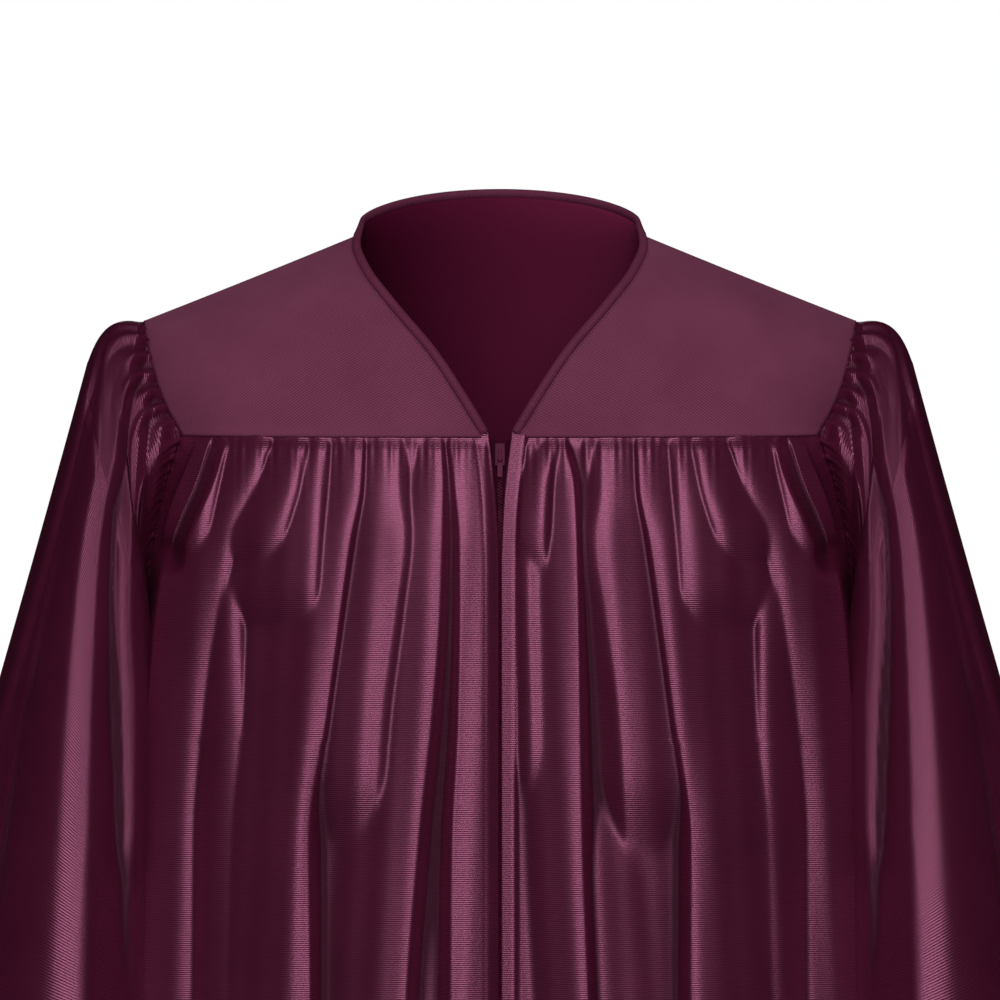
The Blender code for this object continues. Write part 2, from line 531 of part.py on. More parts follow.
def binding_line():
    """The middle of the neck binding and the way the yokes' cloth lies there, from the front edge on the
    +X side round the nape to the other front edge."""
    front_grid = np.stack(front_yoke_rows(24, 40))
    edge, beside = front_grid[::-1, 0], front_grid[::-1, 1]
    back_grid = np.stack(back_yoke_rows(80, 40))
    on_neck = np.abs(back_grid[0][:, 0]) < NECK_EDGE["half_width"][0] - 0.004
    nape, below = back_grid[0][on_neck][::-1], back_grid[1][on_neck][::-1]
    mirror = np.array([-1, 1, 1])
    line = np.concatenate([edge, nape, edge[::-1] * mirror])
    away = unit(np.concatenate([edge - beside, nape - below, (edge - beside)[::-1] * mirror]))
    shares = np.linspace(0, 1, 241)
    line, away = read_at(line, shares), read_at(np.hstack([line, away]), shares)[:, 3:]
    for _ in range(40):
        away[1:-1] = (away[:-2] + 2 * away[1:-1] + away[2:]) / 4
    along = unit(np.gradient(line, axis=0))
    away = unit(away - along * (away * along).sum(axis=1, keepdims=True))
    return line, away, along


# ---- The zip -----------------------------------------------------------------------------------------------
def zip_frame():
    """The slider's top on the fronts' outer face, and the directions down and out there."""
    above, below = (np.array([0.0, -body_size(z)[1], z]) for z in (SLIDER_TOP, SLIDER_TOP - 0.02))
    down = unit(below - above)
    return above, down, np.array([0.0, down[2], -down[1]])


def zip_point(x, down, out):
    top, down_way, out_way = zip_frame()
    return top + np.array([x, 0.0, 0.0]) + down_way * down + out_way * out


def tape_rows():
    """The zip tape on the +X side: rows at the fronts' own heights, moved in behind them."""
    drops = [d for part in PANEL_DROPS.values() for d in part if 0.019 < d <= ZIP_DROP]
    rows = []
    for drop in (*TAPE_EDGE["drop"][:-1], *drops):
        z = YOKE_SEAM - SEAM_GAP - drop
        inner = float(smooth(TAPE_EDGE["drop"], TAPE_EDGE["half_gap"], drop))
        section = half_section(z, True, whole=True)
        x = np.array([inner, inner + TAPE_WIDTH / 2, inner + TAPE_WIDTH])
        y = np.interp(x, section[:, 0], section[:, 1]) + TAPE_DEPTH
        rows.append(np.stack([x, y, np.full(3, z)], axis=1))
    return rows


# ---- Blender objects ---------------------------------------------------------------------------------------
def clear_scene():
    for found in list(bpy.data.objects):
        bpy.data.objects.remove(found)


def finish(name, colour, roughness, metallic=0.0):
    """A plain Principled material."""
    material = bpy.data.materials.new(name)
    material.use_nodes = True
    shader = material.node_tree.nodes["Principled BSDF"]
    shader.inputs["Base Color"].default_value = (*colour, 1)
    shader.inputs["Roughness"].default_value = roughness
    shader.inputs["Metallic"].default_value = metallic
    return material


def place(name, bm, material):
    """The bmesh as an object, shaded smooth."""
    mesh = bpy.data.meshes.new(name)
    bm.to_mesh(mesh)
    bm.free()
    mesh.materials.append(material)
    mesh.shade_smooth()
    obj = bpy.data.objects.new(name, mesh)
    bpy.context.scene.collection.objects.link(obj)
    return obj


def sew_rows(bm, rows, ring):
    """Triangles between rows of points. A row may have half as many spans as the one above it."""
    laid = [[bm.verts.new(Vector(p)) for p in row] for row in rows]
    for upper, lower in zip(laid, laid[1:]):
        spans_up = len(upper) if ring else len(upper) - 1
        spans_low = len(lower) if ring else len(lower) - 1
        for i in range(spans_low):
            d, e = lower[i], lower[(i + 1) % len(lower)]
            if spans_up == spans_low:
                a, c = upper[i], upper[(i + 1) % len(upper)]
                falling = (a.co - e.co).length < (d.co - c.co).length
                split = ((a, d, e), (a, e, c)) if falling else ((a, d, c), (d, e, c))
            else:
                a, b, c = upper[2 * i], upper[2 * i + 1], upper[(2 * i + 2) % len(upper)]
                split = ((a, d, b), (b, d, e), (b, e, c))
            for corners in split:
                bm.faces.new(corners)
    return laid


def turn_outwards(bm, inside):
    """Turns the faces so that they point away from a line of points inside: inside gives one for each
    height."""
    bm.normal_update()
    facing = 0.0
    for face in bm.faces:
        centre = face.calc_center_median()
        facing += face.normal.dot(centre - inside(centre)) * face.calc_area()
    if facing < 0:
        bmesh.ops.reverse_faces(bm, faces=bm.faces[:])


def cloth(name, rows, material, ring=False, inside=None, square=(), thickness=CLOTH):
    """A wall of cloth whose outer face runs through the rows of points. Along an edge named in square the
    wall is cut square to that axis, so that two pieces can meet there."""
    bm = bmesh.new()
    laid = sew_rows(bm, rows, ring)
    turn_outwards(bm, inside or (lambda p: Vector((0, 0, p.z - 0.05))))
    bm.normal_update()
    edges = {"top": laid[0], "bottom": laid[-1], "first": [r[0] for r in laid], "last": [r[-1] for r in laid]}
    inward = {v: v.normal.copy() for v in bm.verts}
    for edge, axis in square:
        for v in edges[edge]:
            if abs(inward[v][axis]) < 0.8:
                inward[v][axis] = 0
                inward[v].normalize()
    outer, rim = bm.faces[:], [e for e in bm.edges if e.is_boundary]
    back = {v: bm.verts.new(v.co - inward[v] * thickness) for v in bm.verts[:]}
    for face in outer:
        bm.faces.new([back[v] for v in reversed(face.verts)])
    for edge in rim:
        loop = edge.link_loops[0]
        v, w = loop.vert, loop.link_loop_next.vert
        bm.faces.new((w, v, back[v], back[w]))
    return place(name, bm, material)


def loft(name, rings, material):
    """A closed solid through rings of points, with flat ends."""
    bm = bmesh.new()
    laid = [[bm.verts.new(Vector(p)) for p in ring] for ring in rings]
    for a, b in zip(laid, laid[1:]):
        for i in range(len(a)):
            j = (i + 1) % len(a)
            bm.faces.new((a[i], b[i], b[j], a[j]))
    bm.faces.new(laid[0])
    bm.faces.new(laid[-1][::-1])
    bmesh.ops.recalc_face_normals(bm, faces=bm.faces[:])
    return place(name, bm, material)


def mirrored(rows, side):
    """Rows modelled on the +X side, kept there for the wearer's left or mirrored for the right."""
    return [row * np.array([1 if side == "left" else -1, 1, 1]) for row in rows]


PANEL_DROPS = {
    "close": (0.0, 0.010, 0.030, 0.060, 0.100),
    "wide": (0.142, 0.195, 0.285, 0.420, 0.620, 0.860, 1.050),
}
SLEEVE_DOWNS = {"close": (0.0, 0.30, 0.65, 1.0), "wide": (1.12, 1.25, 1.38, 1.52, 1.66, 1.82, 2.0)}


def make_front(side, material):
    top = YOKE_SEAM - SEAM_GAP
    folds = [f for f in rows_of(FOLD_COLUMNS, FRONT_FOLDS) if f["side"] in ("both", side)]
    rows = []
    for drops, finer in ((PANEL_DROPS["close"], 2), ((*PANEL_DROPS["wide"], top - HEM_HEIGHT), 1)):
        rows += [panel_row(top - d, finer, folds, True, top, FRONT_SPANS_TO_SIDE) for d in drops]
    for row in rows:
        row[:, 1] -= SEAM_GAP / 2
    seams = (("top", 2), ("last", 1), ("first", 0))
    return cloth(f"front_{side}", mirrored(rows, side), material, square=seams)


def make_back(material):
    top = BACK_YOKE_SEAM - SEAM_GAP
    folds = rows_of(BACK_COLUMNS, BACK_FOLDS)
    rows = []
    for drops, finer in ((PANEL_DROPS["close"], 2), ((*PANEL_DROPS["wide"], top - HEM_HEIGHT), 1)):
        for d in drops:
            half = panel_row(top - d, finer, folds, False, top, BACK_SPANS_TO_SIDE)
            half[:, 1] += SEAM_GAP / 2
            rows.append(np.concatenate([half[:0:-1] * np.array([-1, 1, 1]), half]))
    return cloth("back", rows, material, square=(("top", 2), ("first", 1), ("last", 1)))


def make_sleeve(side, material):
    folds = rows_of(SLEEVE_COLUMNS, SLEEVE_FOLDS)
    rows = [sleeve_row(down, 2, folds) for down in SLEEVE_DOWNS["close"]]
    rows += [sleeve_row(down, 1, folds) for down in SLEEVE_DOWNS["wide"]]
    sign = 1 if side == "left" else -1

    def inside(p):
        drop = min(max((-0.15 - p.z) / 0.5, 0), 1)
        return Vector((sign * (0.262 + 0.083 * drop), 0.008 * drop, p.z - 0.02))

    return cloth(f"sleeve_{side}", mirrored(rows, side), material, ring=True, inside=inside)


def make_yokes(material):
    seams = (("top", 1), ("bottom", 2))

    def behind(p):
        return Vector((p.x * 0.8, 0.06, -0.2))

    for side in ("left", "right"):
        rows = front_yoke_rows(11, 8)
        for row in rows:
            row[:, 1] -= SEAM_GAP / 2
        cloth(f"yoke_front_{side}", mirrored(rows, side), material, inside=behind, square=seams)
    rows = back_yoke_rows(16, 8)
    for row in rows:
        row[:, 1] += SEAM_GAP / 2
    cloth("yoke_back", rows, material, inside=lambda p: Vector((p.x * 0.8, -0.03, -0.2)), square=seams)


def make_binding(material):
    line, away, along = binding_line()
    across = unit(np.cross(away, along))
    middle = line + away * (BINDING_HALF_WIDTH + SEAM_GAP) - across * CLOTH / 2
    rings = []
    for i in np.linspace(0, len(line) - 1, 49).astype(int):
        angle = np.linspace(0, 2 * math.pi, 8, endpoint=False)[:, None]
        rings.append(
            middle[i]
            + away[i] * BINDING_HALF_WIDTH * np.cos(angle)
            + across[i] * BINDING_HALF_THICKNESS * np.sin(angle)
        )
    return loft("neck_binding", rings, material)


def box(half_width, down, out, origin):
    """A box in the zip's own directions, as a temporary object."""
    bm = bmesh.new()
    ends = ((x, d, o) for x in (-half_width, half_width) for d in down for o in out)
    corners = [bm.verts.new(Vector(zip_point(*end) - origin)) for end in ends]
    for face in ((0, 1, 3, 2), (4, 6, 7, 5), (0, 4, 5, 1), (2, 3, 7, 6), (0, 2, 6, 4), (1, 5, 7, 3)):
        bm.faces.new([corners[i] for i in face])
    bmesh.ops.recalc_face_normals(bm, faces=bm.faces[:])
    mesh = bpy.data.meshes.new("block")
    bm.to_mesh(mesh)
    bm.free()
    obj = bpy.data.objects.new("block", mesh)
    bpy.context.scene.collection.objects.link(obj)
    return obj


def join_blocks(name, blocks, operation, origin, material):
    """One closed body from blocks: the others are added to the first or cut from it."""
    for other in blocks[1:]:
        step = blocks[0].modifiers.new("join", "BOOLEAN")
        step.operation = operation
        step.solver = "EXACT"
        step.object = other
    bpy.context.view_layer.update()
    mesh = bpy.data.meshes.new_from_object(blocks[0].evaluated_get(bpy.context.evaluated_depsgraph_get()))
    for block in blocks:
        bpy.data.objects.remove(block)
    mesh.materials.clear()
    mesh.materials.append(material)
    obj = bpy.data.objects.new(name, mesh)
    obj.location = Vector(origin)
    bpy.context.scene.collection.objects.link(obj)


def make_zip(tape, metal):
    for side in ("left", "right"):
        rows = mirrored(tape_rows(), side)
        cloth(f"zip_tape_{side}", rows, tape, square=(("top", 2), ("bottom", 2)), thickness=TAPE_THICKNESS)
    nowhere = np.zeros(3)
    blocks = [box(part["x"], part["down"], part["out"], nowhere) for part in SLIDER.values()]
    join_blocks("zip_slider", blocks, "UNION", nowhere, metal)
    hinge = zip_point(0.0, HINGE["down"], HINGE["out"])
    half = PULL["thickness"] / 2
    thick = (HINGE["out"] - half, HINGE["out"] + half)
    plate = box(PULL["half_width"], (HINGE["down"] - half, HINGE["down"] + PULL["length"]), thick, hinge)
    eye = box(
        PULL_EYE["half_width"],
        (HINGE["down"] + half, HINGE["down"] + PULL_EYE["end"]),
        (thick[0] - half, thick[1] + half),
        hinge,
    )
    join_blocks("zip_pull", [plate, eye], "DIFFERENCE", hinge, metal)


def main():
    clear_scene()
    satin = finish("satin", (0.115, 0.014, 0.040), 0.36)
    yoke_satin = finish("yoke_satin", (0.140, 0.030, 0.062), 0.55)
    for side in ("left", "right"):
        make_front(side, satin)
        make_sleeve(side, satin)
    make_back(satin)
    make_yokes(yoke_satin)
    make_binding(satin)
    tape = finish("zip_tape", (0.070, 0.010, 0.026), 0.80)
    make_zip(tape, finish("painted_zip", (0.110, 0.018, 0.045), 0.40, 0.3))


main()
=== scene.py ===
"""The looks of a choir robe in maroon satin, filled out as if worn, with nobody in it.

Each piece of cloth is a thin shell on the form of its solid, worked out again here from the same sizes and
with all its gathers. Metres, +Z up, front towards -Y. The origin lies on the shoulders, midway between the
neck's two side points.
"""

import math
from functools import lru_cache

import bmesh
import bpy
import numpy as np
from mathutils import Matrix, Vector


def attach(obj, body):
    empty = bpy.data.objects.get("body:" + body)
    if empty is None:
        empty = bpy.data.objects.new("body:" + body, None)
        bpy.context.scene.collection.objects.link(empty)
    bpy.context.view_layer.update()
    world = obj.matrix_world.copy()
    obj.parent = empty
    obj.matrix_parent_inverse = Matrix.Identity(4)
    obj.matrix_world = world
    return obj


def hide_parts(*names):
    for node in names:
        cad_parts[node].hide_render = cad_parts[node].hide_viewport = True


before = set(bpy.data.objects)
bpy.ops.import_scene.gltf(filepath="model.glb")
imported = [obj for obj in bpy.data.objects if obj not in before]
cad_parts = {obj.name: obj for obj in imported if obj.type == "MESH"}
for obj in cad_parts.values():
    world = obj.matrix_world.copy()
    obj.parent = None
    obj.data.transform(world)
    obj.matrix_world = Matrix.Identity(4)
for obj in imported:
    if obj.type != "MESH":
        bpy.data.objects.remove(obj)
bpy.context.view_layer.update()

# ---- The robe's sizes ----
MM = 1000.0
SHELL = 0.0008  # the shown cloth's thickness
SEAM_GAP = 0.00035
HEM_HEIGHT = -1.370
YOKE_SEAM = -0.131
BACK_YOKE_SEAM = -0.150
UNDERARM = -0.330
SQUARENESS = 2.6
SECTION_POINTS = 361
BACK_NECK_DEPTH = 0.075
BACK_NECK_RISE = 0.028
SHOULDER_TIP = (0.240, 0.005, -0.057)
BINDING_HALF_WIDTH = 0.0031
BINDING_HALF_THICKNESS = 0.0021
BINDING_OVERLAP = 0.0007  # how far it closes over the yokes' edges
FADE = 0.08  # the height over which a panel's fold comes and goes
CAP_PUFF = 0.6
TUCK = 0.003  # how far a panel's edge runs on under its neighbour
RING_SQUARENESS = 2.2
HEM_ROWS = np.array([0.026, 0.0225, 0.0195, 0.012, 0.005, 0.0])  # heights above a hem's or a cuff's edge

BODY_SECTIONS = {
    "height": (-0.131, -0.205, -0.330, -0.514, -0.800, -1.100, -1.370),
    "half_width": (0.234, 0.2385, 0.2385, 0.2440, 0.269, 0.308, 0.350),
    "front_depth": (0.098, 0.117, 0.127, 0.138, 0.166, 0.203, 0.240),
    "back_depth": (0.096, 0.110, 0.117, 0.128, 0.158, 0.196, 0.236),
}
ARMHOLE_EDGE = {
    "height": (-0.131, -0.165, -0.205, -0.260, -0.330),
    "half_width": (0.2105, 0.2215, 0.2308, 0.2362, 0.2385),
}
NECK_EDGE = {
    "height": (0.0000, -0.0060, -0.0222, -0.0470, -0.0786, -0.1100, -0.1310),
    "half_width": (0.0975, 0.0985, 0.0920, 0.0730, 0.0460, 0.0250, 0.0122),
    "forward": (0.000, 0.012, 0.036, 0.060, 0.079, 0.091, 0.098),
}
YOKE_ARMHOLE = {
    "height": (-0.057, -0.066, -0.082, -0.102, -0.119),
    "half_width": (0.2400, 0.2375, 0.2330, 0.2265, 0.2185),
    "forward": (-0.005, 0.014, 0.030, 0.043, 0.051),
}
FRONT_EDGE = {
    "height": (-0.131, -0.162, -0.178, -0.192, -0.218, -1.370),
    "half_width": (0.0072, 0.0034, 0.0020, 0.0013, 0.0004, 0.0004),
}

# The long folds of a body panel. Each has a crest that faces forward over a band of cloth, with a sharp side
# and a soft side beyond it: turn is 1 where the sharp side is nearer the centre line and -1 where it is
# further out. The columns x_ are the sharp edge's distances from the centre line at the heights of the same
# number, in mm below the shoulders. rise is how far the crest stands out at the yoke and low_rise further
# down; band, mid_band and low_band are the width of its facing band on the way down. fall and steep are the
# slopes of its soft and sharp sides.
FRONT_HEIGHTS = (-0.138, -0.165, -0.198, -0.245, -0.312, -0.393, -0.504, HEM_HEIGHT)
FOLD_SHAPE = ("rise", "low_rise", "band", "mid_band", "low_band", "fall", "steep", "starts", "ends")
FRONT_COLUMNS = (
    "side", "turn", "x_138", "x_165", "x_198", "x_245", "x_312", "x_393", "x_504", "x_1370", *FOLD_SHAPE,
)
FRONT_FOLDS = (
    ("right", -1, .0335, .0310, .0280, .0275, .0285, .0325, .0340, .055,
     .004, .009, .010, .018, .020, .30, 1.3, 1.00, -1.60),
    ("right", 1, .0370, .0355, .0360, .0375, .0425, .0510, .0595, .080,
     .004, .011, .005, .013, .014, .42, 1.3, 1.00, -1.60),
    ("left", 1, .0140, .0140, .0180, .0180, .0190, .0185, .0200, .030,
     .002, .005, .003, .012, .012, .35, 0.5, -.17, -0.37),
    ("left", -1, .0370, .0310, .0295, .0380, .0430, .0450, .0460, .060,
     .005, .011, .003, .005, .005, .50, 0.9, 1.00, -0.225),
    ("left", -1, .0445, .0500, .0515, .0525, .0535, .0550, .0595, .085,
     .004, .012, .003, .008, .008, .40, 1.6, 1.00, -1.60),
    ("left", 1, .0560, .0570, .0575, .0580, .0570, .0545, .0575, .085,
     .002, .004, .002, .004, .016, .30, 1.3, -.38, -1.60),
    ("both", 1, .0655, .0650, .0610, .0670, .0760, .0810, .0900, .115,
     .004, .011, .010, .020, .016, .40, 0.6, 1.00, -0.385),
    ("both", 1, .0880, .0890, .0950, .1015, .1105, .1218, .1210, .160,
     .004, .013, .005, .010, .016, .35, 1.5, 1.00, -1.60),
    ("both", 1, .1130, .1150, .1165, .1185, .1200, .1210, .1220, .165,
     .004, .015, .003, .013, .013, .35, 0.8, 1.00, -0.265),
    ("both", 1, .1270, .1310, .1400, .1500, .1550, .1560, .1570, .190,
     .006, .017, .003, .011, .011, .35, 0.9, 1.00, -0.225),
    ("both", 1, .1500, .1580, .1700, .1795, .1885, .1940, .1940, .225,
     .006, .013, .005, .018, .034, .30, 1.4, 1.00, -1.60),
    ("both", 1, .1660, .1680, .1700, .1685, .1675, .1700, .1720, .205,
     .002, .011, .002, .007, .010, .30, 0.8, -.20, -1.60),
    ("both", 1, .1790, .1845, .1900, .1960, .2030, .2050, .2050, .240,
     .007, .022, .004, .014, .014, .30, 0.9, 1.00, -0.225),
)
BACK_HEIGHTS = (-0.157, -0.330, -0.700, HEM_HEIGHT)
BACK_COLUMNS = ("turn", "x_157", "x_330", "x_700", "x_1370", *FOLD_SHAPE)
BACK_FOLDS = (
    (-1, .0060, .0090, .0120, .015, .004, .011, .005, .016, .022, .40, 1.2, 1.00, -1.60),
    (1, .0200, .0240, .0260, .034, .004, .010, .004, .010, .012, .35, 0.8, 1.00, -0.36),
    (1, .0360, .0420, .0480, .062, .005, .013, .004, .014, .024, .38, 1.3, 1.00, -1.60),
    (1, .0560, .0620, .0660, .085, .005, .012, .003, .010, .012, .35, 0.9, 1.00, -0.27),
    (1, .0740, .0840, .0940, .120, .005, .012, .005, .016, .026, .36, 1.4, 1.00, -1.60),
    (1, .0980, .1040, .1080, .135, .005, .014, .003, .010, .012, .35, 0.8, 1.00, -0.45),
    (1, .1160, .1290, .1420, .180, .006, .013, .004, .014, .028, .34, 1.4, 1.00, -1.60),
    (1, .1370, .1480, .1560, .195, .006, .015, .003, .011, .012, .35, 0.9, 1.00, -0.30),
    (1, .1560, .1740, .1880, .235, .006, .013, .004, .016, .030, .30, 1.3, 1.00, -1.60),
    (1, .1820, .1960, .2080, .255, .007, .016, .003, .012, .014, .30, 0.9, 1.00, -0.26),
)
# Folds of the skirt beside each side seam, by their share of the way round from the centre line.
SIDE_GROWTH = {"starts": -0.56, "full": -0.95}
SIDE_COLUMNS = ("place", "drift", "rise", "inner", "outer")
SIDE_FOLDS = (
    (0.735, 0.020, 0.010, 0.030, 0.045),
    (0.815, -0.015, 0.014, 0.040, 0.034),
    (0.900, 0.012, 0.012, 0.036, 0.046),
    (0.972, 0.000, 0.008, 0.030, 0.028),
)
# Short gathers at a yoke seam: the distances from the centre line of a gather's top and its lower end. The
# back's gathers and folds all lie on both sides.
GATHER_COLUMNS = ("side", "top", "low", "length", "width", "rise")
FRONT_GATHERS = (
    ("left", .0220, .0220, .035, .006, .0025),
    ("left", .0330, .0400, .060, .003, .0025),
    ("right", .0440, .0440, .045, .006, .0025),
    ("both", .0570, .0580, .050, .005, .0030),
    ("both", .0785, .0790, .045, .004, .0030),
    ("both", .0980, .0970, .042, .004, .0035),
    ("both", .1040, .1000, .042, .003, .0030),
    ("both", .1380, .1390, .030, .007, .0030),
    ("both", .1625, .1565, .022, .003, .0025),
    ("both", .1720, .1750, .040, .005, .0025),
    ("both", .1930, .2000, .040, .005, .0025),
)
BACK_GATHERS = (
    (.0130, .0140, .040, .004, .0030),
    (.0280, .0290, .030, .004, .0025),
    (.0460, .0480, .045, .005, .0030),
    (.0650, .0660, .035, .004, .0030),
    (.0860, .0880, .040, .004, .0030),
    (.1070, .1080, .030, .005, .0025),
    (.1270, .1300, .040, .004, .0030),
    (.1470, .1490, .035, .004, .0025),
    (.1700, .1730, .040, .005, .0030),
)

# A sleeve is carried by three rings: the armhole, one just below it and the cuff. Lean is how far its front
# inner corner hangs in front of the body's side, which it touches.
ARM_RING = {
    "inner": (0.2425, -0.352), "outer": (0.2770, -0.084),
    "forward": 0.000, "half_depth": 0.090, "lean": 0.038,
}
CUFF_RING = {
    "inner": (0.2640, -0.650), "outer": (0.4370, -0.668),
    "forward": -0.006, "half_depth": 0.150, "lean": 0.112,
}
# Where the sleeve's cloth comes from and hangs to: shares of the way round the armhole, the arm ring and the
# cuff.
SLEEVE_TURN = {
    "head": (0, 0.098, 0.132, 0.168, 0.280, 0.500, 0.720, 0.840, 0.875, 0.955, 1.000),
    "arm": (0.010, 0.235, 0.325, 0.385, 0.430, 0.500, 0.585, 0.665, 0.750, 0.910, 1.010),
    "cuff": (0.010, 0.285, 0.375, 0.430, 0.475, 0.550, 0.620, 0.700, 0.785, 0.940, 1.010),
}
# The sleeve's long folds, made as a body panel's are with their sharp side inwards, and again on its back.
SLEEVE_HEIGHTS = (-0.071, -0.096, -0.113, -0.141, -0.164, -0.197, -0.243, -0.309, -0.388, -0.497)
SLEEVE_SIZES = (-0.070, -0.200, -0.660)  # the heights of rise and band, mid_ and low_
SLEEVE_COLUMNS = (
    "x_71", "x_96", "x_113", "x_141", "x_164", "x_197", "x_243", "x_309", "x_388", "x_497",
    "rise", "mid_rise", "low_rise", "band", "mid_band", "low_band", "fall", "steep", "starts", "ends",
)
SLEEVE_FOLDS = (
    (.2421, .2460, .2487, .2513, .2546, .2592, .2618, .2634, .2640, .2655,
     0.008, 0.018, 0.032, 0.003, 0.010, 0.026, 0.42, 1.5, 1.000, -1.600),
    (.2033, .2283, .2349, .2368, .2382, .2401, .2408, .2375, .2368, .2414,
     0.003, 0.012, 0.005, 0.002, 0.003, 0.005, 0.90, 1.5, -0.075, -0.420),
    (.1968, .2165, .2270, .2296, .2309, .2322, .2322, .2322, .2322, .2322,
     0.003, 0.008, 0.008, 0.002, 0.004, 0.004, 0.80, 1.2, -0.100, -0.130),
    (.1968, .2132, .2204, .2231, .2244, .2263, .2277, .2296, .2296, .2296,
     0.003, 0.008, 0.008, 0.002, 0.003, 0.004, 0.90, 1.4, -0.105, -0.195),
    (.2474, .2572, .2625, .2690, .2756, .2822, .2888, .2953, .3019, .3085,
     0.003, 0.008, 0.008, 0.002, 0.008, 0.008, 0.35, 0.7, 1.000, -0.100),
    (.2546, .2598, .2625, .2658, .2710, .2782, .2894, .3019, .3150, .3249,
     0.002, 0.004, 0.002, 0.002, 0.006, 0.010, 0.30, 0.4, -0.100, -0.300),
    (.2625, .2671, .2704, .2756, .2802, .2881, .3006, .3196, .3413, .3676,
     0.001, 0.004, 0.002, 0.002, 0.006, 0.008, 0.30, 0.5, -0.080, -0.300),
    (.2559, .2559, .2559, .2559, .2559, .2559, .2566, .2575, .2569, .2520,
     0.001, 0.003, 0.006, 0.001, 0.002, 0.004, 0.90, 0.9, -0.220, -1.600),
)
# Short pleats where the sleeve's head is gathered into the armhole: the height of each on the armhole's front
# edge, and its length as a share of the way to the arm ring. They lie again on the back.
PLEAT_COLUMNS = ("height", "rise", "width", "length")
SLEEVE_PLEATS = (
    (-0.0625, 0.0026, 0.0050, 0.40),
    (-0.0704, 0.0042, 0.0050, 0.60),
    (-0.0816, 0.0036, 0.0042, 0.28),
    (-0.0935, 0.0038, 0.0042, 0.45),
    (-0.1040, 0.0030, 0.0035, 0.26),
    (-0.1140, 0.0030, 0.0035, 0.34),
    (-0.1245, 0.0018, 0.0035, 0.14),
    (-0.1344, 0.0012, 0.0035, 0.10),
    (-0.1450, 0.0008, 0.0040, 0.08),
)
# Folds on the outermost side of a sleeve, by their share of the way round the arm ring and the cuff.
OUTER_COLUMNS = ("arm", "cuff", "rise", "before", "after")
OUTER_FOLDS = (
    (-0.075, -0.090, 0.007, 0.030, 0.020),
    (-0.030, -0.035, 0.010, 0.020, 0.032),
    (0.025, 0.030, 0.008, 0.030, 0.018),
    (0.075, 0.085, 0.006, 0.020, 0.026),
)

# Sewing and the zip's teeth.
STITCH = {"length": 0.0024, "gap": 0.0010, "thread": 0.00028}
FINE_STITCH = {"length": 0.0018, "gap": 0.0008, "thread": 0.00020}
THREAD_SIDES = 5
SPINDLE = {"shares": np.array([0.0, 0.3, 0.7, 1.0]), "rise": 0.3}
ARMHOLE_STITCH = {"within": (0.10, 0.0, -0.20), "flatten": (0.35, 1.0, 0.6), "out": 0.0004}
SCALLOP = {"pitch": 0.0026, "sway": 0.0008, "thread": 0.00022, "sunk": 0.4, "from_ends": 0.003}
NECK_STITCH = 0.0020  # how far outside the binding's edge its stitches lie
TEETH = {
    "starts": -0.155, "ends": -0.990, "pitch": 0.0020, "height": 0.0012, "inner": -0.0008, "outer": 0.0022,
    "behind": 0.0018, "depth": 0.0014, "stop": 0.0040, "stop_inner": 0.0002, "stop_outer": 0.0034,
}


# ---- Small mathematics ----
def smooth(xs, ys, x):
    """A curve through the points (xs, ys) that doesn't overshoot them, read at x."""
    xs, ys, x = (np.asarray(v, float) for v in (xs, ys, x))
    if xs[0] > xs[-1]:
        xs, ys = xs[::-1], ys[::-1]
    step, rise = np.diff(xs), np.diff(ys)
    slope = rise / step
    tangent = np.zeros(len(xs))
    same = slope[1:] * slope[:-1] > 0
    tangent[1:-1][same] = 2 * (slope[1:] * slope[:-1])[same] / (slope[1:] + slope[:-1])[same]
    tangent[0], tangent[-1] = slope[0], slope[-1]
    x = np.clip(x, xs[0], xs[-1])
    i = np.clip(np.searchsorted(xs, x) - 1, 0, len(step) - 1)
    t = (x - xs[i]) / step[i]
    return (
        ys[i] * (1 + 2 * t) * (1 - t) ** 2
        + ys[i + 1] * t * t * (3 - 2 * t)
        + step[i] * (tangent[i] * t * (1 - t) ** 2 - tangent[i + 1] * t * t * (1 - t))
    )


def step_up(value, low, high):
    """0 below low, 1 above high, with a soft change between."""
    t = np.clip((value - low) / (high - low), 0, 1)
    return t * t * (3 - 2 * t)


def lengths_along(points):
    return np.concatenate([[0.0], np.cumsum(np.linalg.norm(np.diff(points, axis=0), axis=1))])


def read_at(points, shares):
    """The points at these shares of a polyline's length."""
    along = lengths_along(points[:, :3])
    at = np.asarray(shares) * along[-1]
    return np.stack([np.interp(at, along, points[:, k]) for k in range(points.shape[1])], axis=1)


def ridge(distance, before, after):
    """A rounded fold of height 1, by the distance past its crest. Its foot is this far before and after."""
    q = np.clip(np.where(distance < 0, -distance / before, distance / after), 0, 1)
    return (1 - q * q) ** 1.25


def eased(distance, radius):
    """How far a distance is past 0, eased in over a radius."""
    return np.sqrt(np.clip(distance, 0, None) ** 2 + radius ** 2) - radius


def read(table, column, at, by="height"):
    """A table's column read at a place, or at many."""
    value = smooth(table[by], table[column], at)
    return value if value.ndim else float(value)


def soft_max(heights, sharpness=900.0):
    """The upper envelope of several folds, with a small radius where two folds meet."""
    stack = np.stack(heights)
    top = stack.max(axis=0)
    return top + np.log(np.exp(sharpness * (stack - top)).sum(axis=0)) / sharpness


def unit(vectors):
    return vectors / np.maximum(np.linalg.norm(vectors, axis=-1, keepdims=True), 1e-12)


def hermite(a, b, leaving, arriving, t):
    """Points between a and b that leave and arrive in these directions."""
    t = t[..., None]
    ends = a * (1 + 2 * t) * (1 - t) ** 2 + b * t * t * (3 - 2 * t)
    return ends + leaving * t * (1 - t) ** 2 - arriving * t * t * (1 - t)


